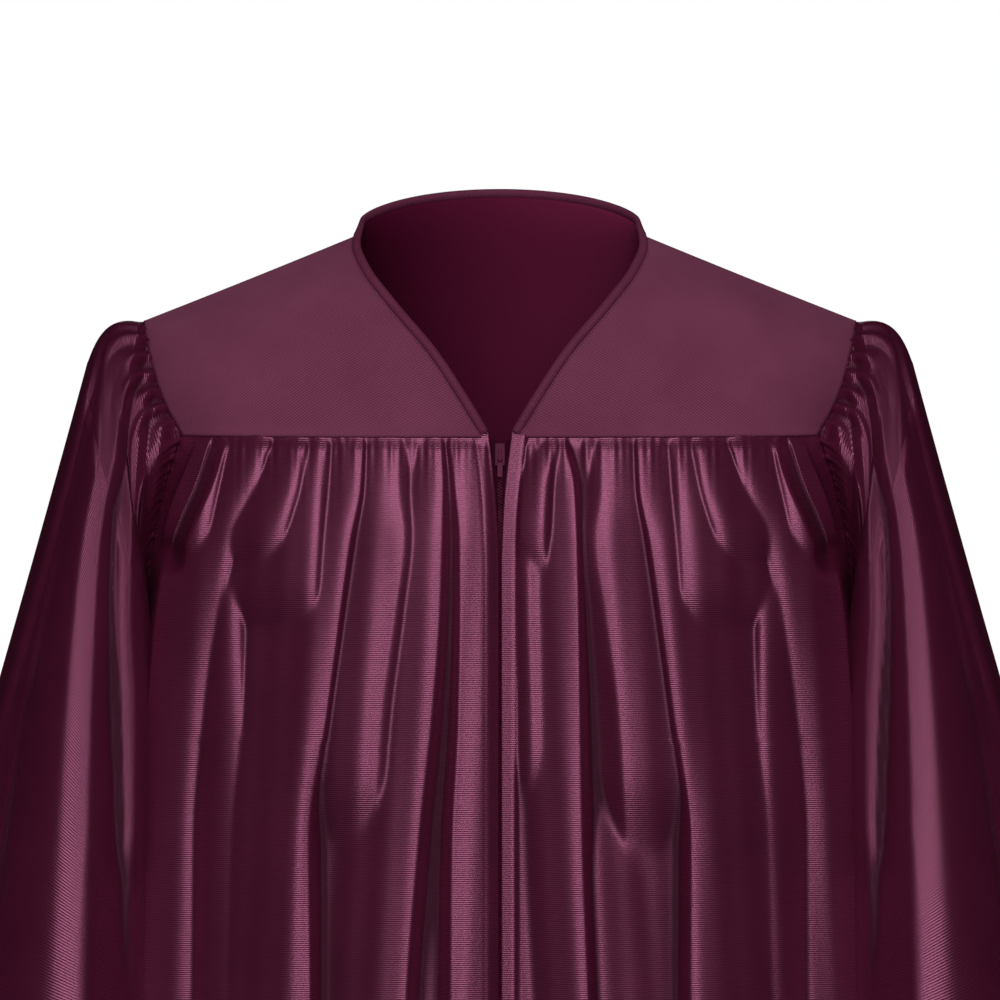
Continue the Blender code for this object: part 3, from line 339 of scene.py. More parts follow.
def uneven(at, lengths, shift):
    """A slow uneven wave between -1 and 1 along at, from waves of these lengths."""
    waves = [np.sin(2 * math.pi * at / length + shift * (k + 1.7)) for k, length in enumerate(lengths)]
    return sum(waves) / len(waves)


# ---- The body's form ----
def body_size(z):
    """Half width, front depth and back depth of the body at a height."""
    return [read(BODY_SECTIONS, column, z) for column in ("half_width", "front_depth", "back_depth")]


def half_section(z, front, start=0.0, whole=False):
    """A fine polyline round one half of the body at a height. It starts this far off the centre line and ends
    at the armhole's edge, or at the side seam where there is no armhole or where whole is set."""
    half_width, front_depth, back_depth = body_size(z)
    depth = -front_depth if front else back_depth
    angle = np.linspace(0, math.pi / 2, SECTION_POINTS)
    power = 2 / SQUARENESS
    x = half_width * np.sin(angle) ** power
    y = depth * np.cos(angle).clip(0) ** power
    stop = half_width
    if z > UNDERARM and not whole:
        stop = min(half_width, read(ARMHOLE_EDGE, "half_width", z))
    keep = (x > start + 1e-5) & (x < stop - 1e-5)
    ends = np.interp([start, stop], x, y)
    x = np.concatenate([[start], x[keep], [stop]])
    y = np.concatenate([ends[:1], y[keep], ends[1:]])
    return np.stack([x, y, np.full_like(x, z)], axis=1)


def rows_of(columns, table):
    return [dict(zip(columns, row)) for row in table]


def fade(z, fold, reach=FADE):
    """1 between the heights where a fold starts and ends and 0 beyond them, with soft changes."""
    above, below = (np.clip(d / reach + 0.5, 0, 1) for d in (z - fold["ends"], fold["starts"] - z))
    inside = above * below
    return inside * inside * (3 - 2 * inside)


# ---- Panels ----
SHARP_SIDE = {"edge": 0.002, "softer": 0.003, "sharpest": 1.6}
FACING = {"flat": 0.20, "rounded": 1.10, "turned_in": 0.30}
PANEL_ROUND = {"soft": 0.002, "sharp": 0.0012}  # the least radius of a fold's two sides
BAND_HEIGHTS = (-0.138, -0.230, -0.504)  # where a panel's band, mid_band and low_band lie
LEAN_REACH = 0.004  # of cloth on each side of a fold's edge, over which the form's slope is read
FADED = 0.004  # how far under the cloth a fold lies where it isn't present
GROWTH = {"drop": (0.0, 0.04, 0.11, 1.3), "share": (0.0, 0.6, 1.0, 1.0)}
FIRST_RISE = {"drop": (0.0, 0.002, 0.010, 1.3), "share": (0.0, 0.10, 1.0, 1.0)}
GATHER_SLOPE = 0.75
GATHER_ROUND = 0.8  # of a gather's width
JOIN = 2200.0  # how sharply two folds meet
BESIDE_ARM = {"height": (-0.131, -0.300, -0.640, HEM_HEIGHT), "flat": (0.016, 0.030, 0.040, 0.020)}
PUCKER = {"rise": 0.0008, "lengths": (0.0061, 0.0083, 0.0047), "reach": 0.012}
FINE_CREASE = {"rise": 0.0005, "lengths": (0.019, 0.031, 0.047), "slant": 0.05, "from": 0.01, "full": 0.08}
PANEL_SHIFT = {"left": 0.6, "right": 2.1, "back": 4.4}  # so that no two panels crease alike
STRIP = {
    "height": (-0.131, -0.138, -0.165, -0.182, -0.202),
    "inner": (0.1885, 0.1906, 0.1996, 0.2074, 0.2160),
    "outer": (0.1990, 0.2009, 0.2125, 0.2190, 0.2240),
    "inner_crease": (-0.0006, 0.0010),
    "outer_crease": (0.0012, -0.0004),
    "rise": 0.0022,
    "facing": 0.3,
    "ends": -0.206,
    "soft_end": 0.008,
    "beside": 0.012,
    "below": 0.020,
}
HEM_TURN = {"depth": 0.022, "rise": 0.0006}
TURN_STEP = 0.002
PLACKET = {
    "stitch": 0.0094, "depth": 0.0035, "edge": 0.0008, "edge_rise": 0.0005, "dent": 0.0003,
    "dent_width": 0.0009, "rise": 0.0008, "tilt": 0.12, "soft": 0.002,
}
TUCKED_SLOPE = 0.3  # of a panel's top where it runs on behind the yoke
PANEL_ROWS = ((-TUCK, 0.060, 0.0016), (0.060, 0.200, 0.0030), (0.200, 0.420, 0.0060))  # from, to and step
LOW_ROWS = {"starts": 0.420, "above_hem": 0.030, "step": 0.0150}


def edge_places(fold, heights):
    """Where a fold's sharp edge lies at each of these heights, from its columns x_."""
    return [fold[f"x_{-height * MM:.0f}"] for height in heights]


def fold_sides(fold, past, band, rounded):
    """How far points lie out on a fold's soft side, beyond its facing band, and on its sharp side."""
    soft = eased(past - FACING["flat"] * band, FACING["rounded"] * band + rounded["soft"])
    radius = rounded["sharp"] + SHARP_SIDE["softer"] * (SHARP_SIDE["sharpest"] - fold["steep"])
    return soft, eased(-past, radius)


def first_rise(drop):
    """How much of their rise the folds have just below a seam."""
    return read(FIRST_RISE, "share", drop, "drop")


def fold_surface(fold, heights, z, x, section, drop):
    """How far forward a long fold's cloth would lie along a row, were it alone."""
    present = fade(z, fold)
    grown = read(GROWTH, "share", drop, "drop")
    rise = (fold["rise"] + (fold["low_rise"] - fold["rise"]) * grown) * first_rise(drop) * present
    rise = rise - FADED * (1 - present)
    band = float(smooth(BAND_HEIGHTS, [fold[k] for k in ("band", "mid_band", "low_band")], z))
    edge = float(smooth(heights, edge_places(fold, heights), z)) + fold["turn"] * SHARP_SIDE["edge"]
    near, far = np.interp([edge - LEAN_REACH, edge + LEAN_REACH], *section)
    lean = max(fold["turn"] * (near - far) / (2 * LEAN_REACH), 0.0)
    soft, sharp = fold_sides(fold, (x - edge) * fold["turn"], band, PANEL_ROUND)
    turned_in = FACING["turned_in"] * edge * (x - edge)
    return np.interp(edge, *section) + rise + turned_in - (fold["fall"] + lean) * soft - fold["steep"] * sharp


def gather_surface(gather, x, section, drop):
    """How far forward a short gather's cloth would lie along a row, were it alone."""
    share = drop / gather["length"]
    middle = gather["top"] + (gather["low"] - gather["top"]) * share
    rise = gather["rise"] * first_rise(drop) * (1 - share ** 3)
    away = eased(np.abs(x - middle), GATHER_ROUND * gather["width"])
    return np.interp(middle, *section) + rise - GATHER_SLOPE * away


def front_edge_finish(x, z, side, lift):
    """The placket's turned-in edge, the same on both fronts but for its stitched strip."""
    out = x - read(FRONT_EDGE, "half_width", z)
    lift = lift + PLACKET["edge_rise"] * step_up(out, 2 * PLACKET["edge"], PLACKET["edge"])
    if side == "right":
        turned = np.clip(1 - x / PLACKET["stitch"], 0, 1)
        lift = lift - PLACKET["depth"] * turned ** 1.5
    else:
        on_strip = step_up(out, PLACKET["stitch"] + PLACKET["soft"], PLACKET["stitch"])
        lift = lift * (1 - on_strip) + (PLACKET["rise"] + PLACKET["tilt"] * out) * on_strip
    return lift - PLACKET["dent"] * np.exp(-((out - PLACKET["stitch"]) / PLACKET["dent_width"]) ** 2)


def strip_lift(x, z):
    """The armhole's turned strip, 1 where it lies and 0 elsewhere, and where its inner side is."""
    inner, outer = read(STRIP, "inner", z), read(STRIP, "outer", z)
    creases = ((inner, STRIP["inner_crease"]), (outer, STRIP["outer_crease"]))
    lies = [step_up(x, middle + low, middle + high) for middle, (low, high) in creases]
    return lies[0] * lies[1] * float(step_up(z, STRIP["ends"], STRIP["ends"] + STRIP["soft_end"])), inner


def turned_edge(turn, height):
    """The small step where a hem or a cuff is turned in, by the height above its edge."""
    return turn["rise"] * step_up(height, turn["depth"], turn["depth"] - TURN_STEP)


def panel_lift(z, x, front, side, folds, gathers, section, from_end, top):
    """How far forward, or back, a body panel stands out from its section along a row."""
    heights = FRONT_HEIGHTS if front else BACK_HEIGHTS
    drop = max(top - z, 0.0)
    base = np.interp(x, *section)
    surfaces = [base]
    surfaces += [fold_surface(fold, heights, z, x, section, drop) for fold in folds if fade(z, fold) > 0]
    surfaces += [gather_surface(gather, x, section, drop) for gather in gathers if drop < gather["length"]]
    shift, first = PANEL_SHIFT[side], first_rise(drop)
    pucker = PUCKER["rise"] * first * uneven(x, PUCKER["lengths"], shift) * math.exp(-drop / PUCKER["reach"])
    crease = uneven(x + FINE_CREASE["slant"] * z, FINE_CREASE["lengths"], shift + 2 * z)
    crease = FINE_CREASE["rise"] * crease * float(step_up(drop, FINE_CREASE["from"], FINE_CREASE["full"]))
    lift = np.clip(soft_max(surfaces, JOIN) - base, 0, None) + pucker + crease
    lift = lift * step_up(from_end, 0, read(BESIDE_ARM, "flat", z))
    if front:
        on_strip, inner = strip_lift(x, z)
        near_strip = step_up(x, inner - STRIP["beside"], inner)
        near_strip = near_strip * float(step_up(z, STRIP["ends"] - STRIP["below"], STRIP["ends"]))
        rise = (STRIP["rise"] + STRIP["facing"] * (np.interp(inner, *section) - base)) * first
        lift = front_edge_finish(x, z, side, lift * (1 - near_strip) + rise * on_strip)
    return lift + float(turned_edge(HEM_TURN, z - HEM_HEIGHT))


def side_folds(z, share):
    """How far the folds beside the side seam stand out, at shares of the way round from the centre line."""
    grown = float(step_up(z, SIDE_GROWTH["full"], SIDE_GROWTH["starts"]))
    lift = np.zeros(len(share))
    for fold in rows_of(SIDE_COLUMNS, SIDE_FOLDS):
        place = fold["place"] + fold["drift"] * (z - HEM_HEIGHT)
        lift = np.maximum(lift, fold["rise"] * ridge(share - place, fold["inner"], fold["outer"]))
    return lift * (1 - grown)


def panel_row(z, count, front, side, folds, gathers, top):
    """One row of a body panel on the +X side, with its distance from the centre line along the cloth."""
    form = min(z, YOKE_SEAM if front else BACK_YOKE_SEAM)
    start = read(FRONT_EDGE, "half_width", form) if front else 0.0
    row = half_section(form, front, start=start)
    whole = half_section(form, front, whole=True)
    along = lengths_along(row)
    at = np.linspace(0, along[-1], count)
    points = read_at(row, at / along[-1])
    forward = -1 if front else 1
    way = np.abs(np.gradient(points[:, :2], axis=0))
    out = unit(np.stack([way[:, 1], forward * way[:, 0]], axis=1))
    section = (whole[:, 0], forward * whole[:, 1])
    lift = panel_lift(form, points[:, 0], front, side, folds, gathers, section, along[-1] - at, top)
    points[:, 1] += forward * lift
    points[:, :2] += out * side_folds(form, at / along[-1])[:, None]
    points[:, 2] = z
    if z > form:
        points[:, 1] -= forward * (SHELL + TUCKED_SLOPE * (z - form))
    return points, at


def panel_heights(top):
    """The heights of a body panel's rows: close together at the gathers and wider apart towards the hem."""
    length = top - HEM_HEIGHT
    spans = (*PANEL_ROWS, (LOW_ROWS["starts"], length - LOW_ROWS["above_hem"], LOW_ROWS["step"]))
    return top - np.concatenate([*(np.arange(*span) for span in spans), length - HEM_ROWS])


# ---- The armhole and the sleeves ----
def yoke_armhole_front(count):
    """The front yoke's armhole edge on the +X side, from the shoulder tip to the yoke seam."""
    corner_x, corner_y, _ = half_section(YOKE_SEAM, True)[-1]
    heights = (*YOKE_ARMHOLE["height"], YOKE_SEAM)
    z = np.linspace(heights[0], heights[-1], count)
    x = smooth(heights, (*YOKE_ARMHOLE["half_width"], corner_x), z)
    y = -smooth(heights, (*YOKE_ARMHOLE["forward"], -corner_y), z)
    return np.stack([x, y, z], axis=1)


def panel_edge(front, count):
    """A body panel's armhole edge on the +X side, from its yoke seam to the underarm."""
    top = YOKE_SEAM if front else BACK_YOKE_SEAM
    return np.array([half_section(z, front)[-1] for z in np.linspace(top, UNDERARM, count)])


# How the back yoke leaves the shoulder and the neck, this many degrees down, and how it meets its seam.
YOKE_DRAPE = {"leaving": 0.085, "arriving": 0.110, "steep": 9.0, "steeper_at_nape": 66.0, "power": 0.8}


def yoke_armhole_back(count):
    """The back yoke's armhole edge on the +X side, from the shoulder tip to the back yoke seam."""
    tip, corner = np.array(SHOULDER_TIP), half_section(BACK_YOKE_SEAM, False)[-1]
    steep = math.radians(YOKE_DRAPE["steep"])
    leaving = YOKE_DRAPE["leaving"] * np.array([0, math.cos(steep), -math.sin(steep)])
    arriving = np.array([0.0, 0.0, -YOKE_DRAPE["arriving"]])
    return hermite(tip, corner, leaving, arriving, np.linspace(0, 1, count))


@lru_cache(maxsize=None)
def armhole_loop():
    """The armhole on the +X side, from the shoulder tip down the front and up the back, closed."""
    front = [yoke_armhole_front(40), panel_edge(True, 60)[1:]]
    back = [panel_edge(False, 60)[-2::-1], yoke_armhole_back(40)[-2:0:-1]]
    loop = np.concatenate(front + back)
    return np.vstack([loop, loop[:1]])


def ring_point(ring, angle):
    """A point of an arm ring on the +X side: angle 0 is outermost, then the front."""
    (inner_x, inner_z), (outer_x, outer_z) = ring["inner"], ring["outer"]
    power = 2 / RING_SQUARENESS
    across = np.sign(np.cos(angle)) * np.abs(np.cos(angle)) ** power
    deep = np.sign(np.sin(angle)) * np.abs(np.sin(angle)) ** power
    x = (outer_x + inner_x) / 2 + (outer_x - inner_x) / 2 * across
    z = (outer_z + inner_z) / 2 + (outer_z - inner_z) / 2 * across
    x = x - ring["lean"] * np.maximum(deep, 0) ** 2 * (1 - across) / 2
    return np.stack([x, -ring["forward"] - ring["half_depth"] * deep, z], axis=-1)


SLEEVE_GAP = 1.3  # of the seam gap, sideways from the armhole
# The way a sleeve's cloth leaves the armhole, and what the top adds to it and the underarm takes away.
LEAVING = {"out": 0.62, "out_on_top": 0.38, "forward": 0.5, "up": -0.15, "up_on_top": 0.55}
SLEEVE_FALL = 1.2  # how strongly the sleeve arrives at the arm ring in its hanging direction


def sleeve_base(head, round_arm, down):
    """Points of the sleeve's form on the +X side. down is 0 at the armhole, 1 at the arm ring and 2 at the
    cuff. head and round_arm are shares of the way round the armhole and the rings."""
    loop = armhole_loop()
    start = read_at(loop, head % 1)
    inward = unit((loop[:-1].mean(axis=0) - start) * np.array([0.0, 1.0, 1.0]))
    start = start + SEAM_GAP * inward + np.array([SLEEVE_GAP * SEAM_GAP, 0, 0])
    angle = 2 * math.pi * round_arm
    arm, cuff = ring_point(ARM_RING, angle), ring_point(CUFF_RING, angle)
    if down > 1:
        return arm + (cuff - arm) * (down - 1)
    turn = math.pi * (head + round_arm)
    out, up = (LEAVING[way] + LEAVING[f"{way}_on_top"] * np.cos(turn) for way in ("out", "up"))
    leaving = np.stack([out, -LEAVING["forward"] * np.sin(turn), up], axis=1)
    reach = np.linalg.norm(arm - start, axis=1, keepdims=True)
    puffed = 1 + CAP_PUFF * np.cos(turn).clip(0)[:, None] ** 4
    arriving = unit(cuff - arm) * reach * SLEEVE_FALL
    return hermite(start, arm, unit(leaving) * reach * puffed, arriving, np.full(len(arm), down))


SLEEVE_PUCKER = {"rise": 0.0009, "lengths": (0.0068, 0.0094, 0.0051), "reach": 0.06, "shift": 0.9}
PLEAT_SHAPE = {"share": (0.0, 0.03, 0.5, 1.0), "rise": (0.4, 1.0, 0.8, 0.0)}
CUFF_TURN = {"depth": 0.020, "rise": 0.0006}
SLEEVE_EDGE = {"shift": 0.0015, "slant_reach": 0.002, "fade": 0.05, "faded": 0.003}
SLEEVE_FACING = {"before": 0.004, "past": 1.2}  # the second in widths of the facing band
SLEEVE_ROUND = {"soft": 0.0015, "sharp": 0.001}
SLEEVE_LEAN = {"least_forward": 0.3, "least": -0.5, "most": 1.3}  # of the form's slope sideways
SLEEVE_JOIN = 2000.0
SLEEVE_FOLDS_FROM = 0.07  # of the way to the arm ring, where the long folds are full
OUTER_GROWTH = (1.0, 2.2)  # the outer folds grow from the first way down and would be full at the second
SLEEVE_FACES = (0.10, 0.40)  # how far the form faces forward or back where its folds begin and are full
BACK_FOLD_SHIFT = {"scale": 0.985, "aside": 0.002, "down": 0.004}  # so that the back is no copy
PLEAT_PLACE = {"above_underarm": 0.01, "back": 0.9, "spread": 1.5, "widens": 1.2}
SLEEVE_EASING = 40  # rounds of evening out the cap
SLEEVE_LENGTH = 0.30  # of its hanging part, between the two rings
SLEEVE_ROWS = ((-0.016, 0.2, 0.010), (0.2, 1.0, 0.018), (1.0, 1.9, 0.022))  # from, to and step, as shares
FRONT_SHARE = 0.46  # of the way round the armhole, which is its front


def sleeve_fold_surface(fold, x, z, lean):
    """How far forward a sleeve's long fold lies beyond the sleeve's form at points of it."""
    present = fade(z, fold, SLEEVE_EDGE["fade"])
    places = edge_places(fold, SLEEVE_HEIGHTS)
    edge = smooth(SLEEVE_HEIGHTS, places, z)
    reach = SLEEVE_EDGE["slant_reach"]
    slant = (smooth(SLEEVE_HEIGHTS, places, z - reach) - edge) / reach
    rise = smooth(SLEEVE_SIZES, [fold[k] for k in ("rise", "mid_rise", "low_rise")], z)
    band = smooth(SLEEVE_SIZES, [fold[k] for k in ("band", "mid_band", "low_band")], z)
    past = (x - edge - SLEEVE_EDGE["shift"]) / np.sqrt(1 + slant ** 2)
    soft, sharp = fold_sides(fold, past, band, SLEEVE_ROUND)
    level = np.clip(past, -SLEEVE_FACING["before"], SLEEVE_FACING["past"] * band)
    facing = (lean + FACING["turned_in"] * edge) * level
    away = (fold["fall"] + np.maximum(lean, 0)) * soft + fold["steep"] * sharp
    return rise * present - SLEEVE_EDGE["faded"] * (1 - present) + facing - away


def sleeve_pleats(head, downs):
    """The short pleats below the armhole, at shares of the way round it and down the sleeve."""
    loop = armhole_loop()
    along = lengths_along(loop)
    front = np.argmax(loop[:, 2] < UNDERARM + PLEAT_PLACE["above_underarm"])
    pleats = np.zeros((len(downs), len(head)))
    spread = 1 + PLEAT_PLACE["spread"] * np.clip(downs, 0, 1)[:, None]
    for pleat in rows_of(PLEAT_COLUMNS, SLEEVE_PLEATS):
        place = np.interp(-pleat["height"], -loop[:front, 2], along[:front]) / along[-1]
        share = downs / pleat["length"]
        width = pleat["width"] * (1 + PLEAT_PLACE["widens"] * np.clip(share, 0, 1))[:, None]
        height = np.interp(share, PLEAT_SHAPE["share"], PLEAT_SHAPE["rise"])[:, None]
        for middle in (place, 1 - PLEAT_PLACE["back"] * place):
            away = ((head - middle + 0.5) % 1 - 0.5)[None, :] * along[-1] * spread
            pleats = np.maximum(pleats, pleat["rise"] * height * ridge(away, width, width))
    return pleats


def outer_folds(downs, arm, cuff):
    """The folds on the outermost side of a sleeve."""
    down = np.clip(downs - 1, 0, 1)[:, None]
    folds = np.zeros((len(downs), len(arm)))
    for fold in rows_of(OUTER_COLUMNS, OUTER_FOLDS):
        place = fold["arm"] + (fold["cuff"] - fold["arm"]) * down
        away = (arm + (cuff - arm) * down - place + 0.5) % 1 - 0.5
        folds = np.maximum(folds, fold["rise"] * ridge(away, fold["before"], fold["after"]))
    return folds


def sleeve_form(downs, head, arm, cuff):
    """A sleeve's form on the +X side, evened out below its head, and its texture map in metres."""
    grid = np.stack([sleeve_base(head, arm + (cuff - arm) * max(down - 1, 0), down) for down in downs])
    share = 0.5 * np.sin(math.pi * np.clip(downs, 0, 1))[:, None, None] ** 0.5
    for _ in range(SLEEVE_EASING):
        grid = grid * (1 - share) + share * (np.roll(grid, 1, axis=1) + np.roll(grid, -1, axis=1)) / 2
    round_sleeve = np.linalg.norm(np.roll(grid, -1, axis=1) - grid, axis=2)
    across = np.cumsum(round_sleeve, axis=1) - round_sleeve
    drop = np.concatenate([[0], np.cumsum(np.linalg.norm(np.diff(grid, axis=0), axis=2).mean(axis=1))])
    return grid, np.stack([across, np.repeat(-drop[:, None], len(head), axis=1)], axis=2)


def sleeve_grid(downs, front_columns, back_columns):
    """A whole sleeve on the +X side with its folds, and its texture map in metres."""
    head = np.concatenate([
        np.linspace(0, FRONT_SHARE, front_columns, endpoint=False),
        np.linspace(FRONT_SHARE, 1, back_columns, endpoint=False),
    ])
    arm, cuff = (np.interp(head, SLEEVE_TURN["head"], SLEEVE_TURN[ring]) for ring in ("arm", "cuff"))
    grid, uv = sleeve_form(downs, head, arm, cuff)
    normals = grid_normals(grid, True)
    if (normals * (grid - grid.mean(axis=1, keepdims=True))).sum() < 0:
        normals = -normals
    forward = np.maximum(np.abs(normals[..., 1]), SLEEVE_LEAN["least_forward"])
    lean = np.clip(normals[..., 0] / forward, SLEEVE_LEAN["least"], SLEEVE_LEAN["most"])
    x, z = grid[..., 0], grid[..., 2]
    on_back = (x * BACK_FOLD_SHIFT["scale"] + BACK_FOLD_SHIFT["aside"], z - BACK_FOLD_SHIFT["down"])
    folds, lifts = rows_of(SLEEVE_COLUMNS, SLEEVE_FOLDS), []
    for places in ((x, z), on_back):
        surfaces = [sleeve_fold_surface(fold, *places, lean) for fold in folds]
        lifts.append(soft_max([np.zeros_like(x), *surfaces], SLEEVE_JOIN))
    front, back = (step_up(way * normals[..., 1], *SLEEVE_FACES) for way in (-1, 1))
    grid[..., 1] += (lifts[1] * back - lifts[0] * front) * step_up(downs, 0, SLEEVE_FOLDS_FROM)[:, None]
    aside = np.clip(1 - front - back, 0, 1)
    hanging = step_up(downs, *OUTER_GROWTH)[:, None]
    wave = uneven(head * lengths_along(armhole_loop())[-1], SLEEVE_PUCKER["lengths"], SLEEVE_PUCKER["shift"])
    fades = np.exp(-np.clip(downs, 0, None) / SLEEVE_PUCKER["reach"])[:, None]
    turned = turned_edge(CUFF_TURN, (2 - downs) * SLEEVE_LENGTH)[:, None]
    lift = sleeve_pleats(head, downs) + SLEEVE_PUCKER["rise"] * wave[None, :] * fades + turned
    return grid + normals * (lift + outer_folds(downs, arm, cuff) * aside * hanging)[..., None], uv


# ---- The yokes and the neck ----
YOKE_LIP = {"out": 0.0014, "down": 0.0016, "share": 0.05}
SHOULDER_HOLLOW = 0.0004
YOKE_SWELL = 0.004
SWELL_WAY = np.array([0.2, -0.8, 0.55])
BELOW_NECK = 0.006  # how much wider than the neck the back yoke's middle part is at its seam
BINDING_POINTS = 241
BINDING_SIDES = 16
BINDING_EASING = 40  # rounds of evening out the binding's lie
OFF_SHOULDER = 0.004  # how far the nape's line keeps from the shoulder seams


def neck_edge(count):
    """The front neck edge on the +X side, from the shoulder down to the zip."""
    z = np.linspace(NECK_EDGE["height"][0], NECK_EDGE["height"][-1], count)
    return np.stack([read(NECK_EDGE, "half_width", z), -read(NECK_EDGE, "forward", z), z], axis=1)


def shoulder_seam(count):
    """The shoulder seam on the +X side, from the neck to the shoulder tip, with a slight hollow."""
    t = np.linspace(0, 1, count)[:, None]
    neck, tip = np.array([NECK_EDGE["half_width"][0], 0.0, 0.0]), np.array(SHOULDER_TIP)
    return neck + (tip - neck) * t - np.array([0, 0, SHOULDER_HOLLOW]) * np.sin(math.pi * t)


def front_yoke_rows(columns, rows):
    """A front yoke on the +X side between its four edges: rows run from the shoulder to the yoke seam."""
    top, inner, outer = shoulder_seam(200), neck_edge(200), yoke_armhole_front(200)
    low = half_section(YOKE_SEAM, True, start=NECK_EDGE["half_width"][-1])
    u = np.linspace(0, 1, columns)
    top, low = read_at(top, u), read_at(low, u)
    u = u[:, None]
    grid = []
    for v in np.linspace(0, 1, rows):
        left, right = read_at(inner, [v])[0], read_at(outer, [v])[0]
        across = left * (1 - u) + right * u
        down = top * (1 - v) + low * v
        corners = (top[0] * (1 - u) + top[-1] * u) * (1 - v) + (low[0] * (1 - u) + low[-1] * u) * v
        swell = YOKE_SWELL * math.sin(math.pi * v) * np.sin(math.pi * u) * SWELL_WAY
        grid.append(across + down - corners + swell)
    return np.stack(grid)


def with_lip(grid):
    """A yoke with its lower edge turned under: it stands a little in front of the gathers and ends below the
    seam."""
    grid = grid.copy()
    forward = -1 if grid[..., 1].mean() < 0 else 1
    share = np.linspace(0, 1, len(grid))
    grid[..., 1] += forward * YOKE_LIP["out"] * step_up(share, 1 - YOKE_LIP["share"], 1)[:, None]
    return np.concatenate([grid, grid[-1:] - np.array([0.0, 0.0, YOKE_LIP["down"]])])


def relax(grid):
    """Spreads a crease inside a grid of points over its neighbours, the four edges kept."""
    for _ in range(3 * max(grid.shape[:2])):
        middle = (grid[1:-1, :-2] + grid[1:-1, 2:] + grid[:-2, 1:-1] + grid[2:, 1:-1]) / 4
        grid[1:-1, 1:-1] = 0.5 * grid[1:-1, 1:-1] + 0.5 * middle
    return grid


def back_yoke_rows(half_columns, rows):
    """The back yoke, from one armhole to the other: rows run from the neck and the shoulder seams down."""
    on_shoulder = half_columns // 2
    shoulder = read_at(shoulder_seam(60)[::-1], np.linspace(0, 1, on_shoulder, endpoint=False))
    turn = np.linspace(0, math.pi / 2, half_columns - on_shoulder + 1)
    neck = NECK_EDGE["half_width"][0]
    nape = [neck * np.cos(turn), BACK_NECK_DEPTH * np.sin(turn), BACK_NECK_RISE * np.sin(turn)]
    top = np.concatenate([shoulder, np.stack(nape, axis=1)])
    at_nape = YOKE_DRAPE["steep"] + YOKE_DRAPE["steeper_at_nape"] * (1 - np.cos(turn)) ** YOKE_DRAPE["power"]
    steep = np.radians(np.concatenate([np.full(on_shoulder, YOKE_DRAPE["steep"]), at_nape]))
    low_line = half_section(BACK_YOKE_SEAM, False)
    corner, below_neck = low_line[-1, 0], neck + BELOW_NECK
    on_seam = np.concatenate([
        corner + (below_neck - corner) * np.linspace(0, 1, on_shoulder, endpoint=False),
        below_neck * (0.5 * np.cos(turn) + 0.5 * (1 - turn / (math.pi / 2))),
    ])
    low = np.stack([np.interp(on_seam, low_line[:, 0], low_line[:, k]) for k in range(3)], axis=1)
    leaving = YOKE_DRAPE["leaving"] * np.stack([0 * steep, np.cos(steep), -np.sin(steep)], axis=1)
    arriving = np.tile([0.0, 0.0, -YOKE_DRAPE["arriving"]], (len(top), 1))
    grid = []
    for v in np.linspace(0, 1, rows):
        half = hermite(top, low, leaving, arriving, np.full(len(top), v))
        grid.append(np.concatenate([half * np.array([-1, 1, 1]), half[-2::-1]]))
    return relax(np.stack(grid))


@lru_cache(maxsize=None)
def binding_line():
    """The middle of the neck binding, the ways off the yokes' edge and off their cloth, from the front edge
    on the +X side round the nape to the other front edge."""
    front_grid = front_yoke_rows(24, 40)
    edge, beside = front_grid[::-1, 0], front_grid[::-1, 1]
    back_grid = back_yoke_rows(80, 40)
    on_neck = np.abs(back_grid[0][:, 0]) < NECK_EDGE["half_width"][0] - OFF_SHOULDER
    nape, below = back_grid[0][on_neck][::-1], back_grid[1][on_neck][::-1]
    mirror = np.array([-1, 1, 1])
    line = np.concatenate([edge, nape, edge[::-1] * mirror])
    away = unit(np.concatenate([edge - beside, nape - below, (edge - beside)[::-1] * mirror]))
    shares = np.linspace(0, 1, BINDING_POINTS)
    line, away = read_at(line, shares), read_at(np.hstack([line, away]), shares)[:, 3:]
    for _ in range(BINDING_EASING):
        away[1:-1] = (away[:-2] + 2 * away[1:-1] + away[2:]) / 4
    along = unit(np.gradient(line, axis=0))
    away = unit(away - along * (away * along).sum(axis=1, keepdims=True))
    return line, away, unit(np.cross(away, along))


# ---- Meshes from grids of points ----
def grid_normals(grid, ring):
    """Unit normals of a grid of points: rows down, columns across, ring if the columns close."""
    if ring:
        across = np.roll(grid, -1, axis=1) - np.roll(grid, 1, axis=1)
    else:
        across = np.gradient(grid, axis=1)
    return unit(np.cross(np.gradient(grid, axis=0), across))


def grid_faces(rows, columns, ring, first=0, flip=False):
    """Four-cornered faces of a grid of points."""
    i, j = np.meshgrid(np.arange(rows - 1), np.arange(columns if ring else columns - 1), indexing="ij")
    k = (j + 1) % columns
    a, b, c, d = (first + r * columns + s for r, s in ((i, j), (i + 1, j), (i + 1, k), (i, k)))
    faces = np.stack([a, b, c, d], axis=-1).reshape(-1, 4)
    return faces[:, ::-1] if flip else faces


# Valleys between folds, narrow and wide: their size in columns of points, depth and deepest painted shadow.
VALLEYS = ((5.0, 0.0022, 1), (12.0, 0.0080, 0.7))
OPEN_CLOTH = 0.1  # how far open cloth may sink, in the valley's depths


def sunk(grid, normals, ring, across, depth):
    """How deep each point of a grid lies below the cloth this many columns around it: 1 is this depth."""
    reach = round(2.8 * across)
    edge = {"mode": "wrap"} if ring else {"mode": "reflect", "reflect_type": "odd"}
    padded = np.pad(grid, ((0, 0), (reach, reach), (0, 0)), **edge)
    steps = np.arange(-reach, reach + 1)
    weights = np.exp(-(steps / across) ** 2 / 2)
    columns = grid.shape[1]
    around = sum(w * padded[:, reach + k:reach + k + columns] for w, k in zip(weights, steps)) / weights.sum()
    return ((around - grid) * normals).sum(axis=2) / depth


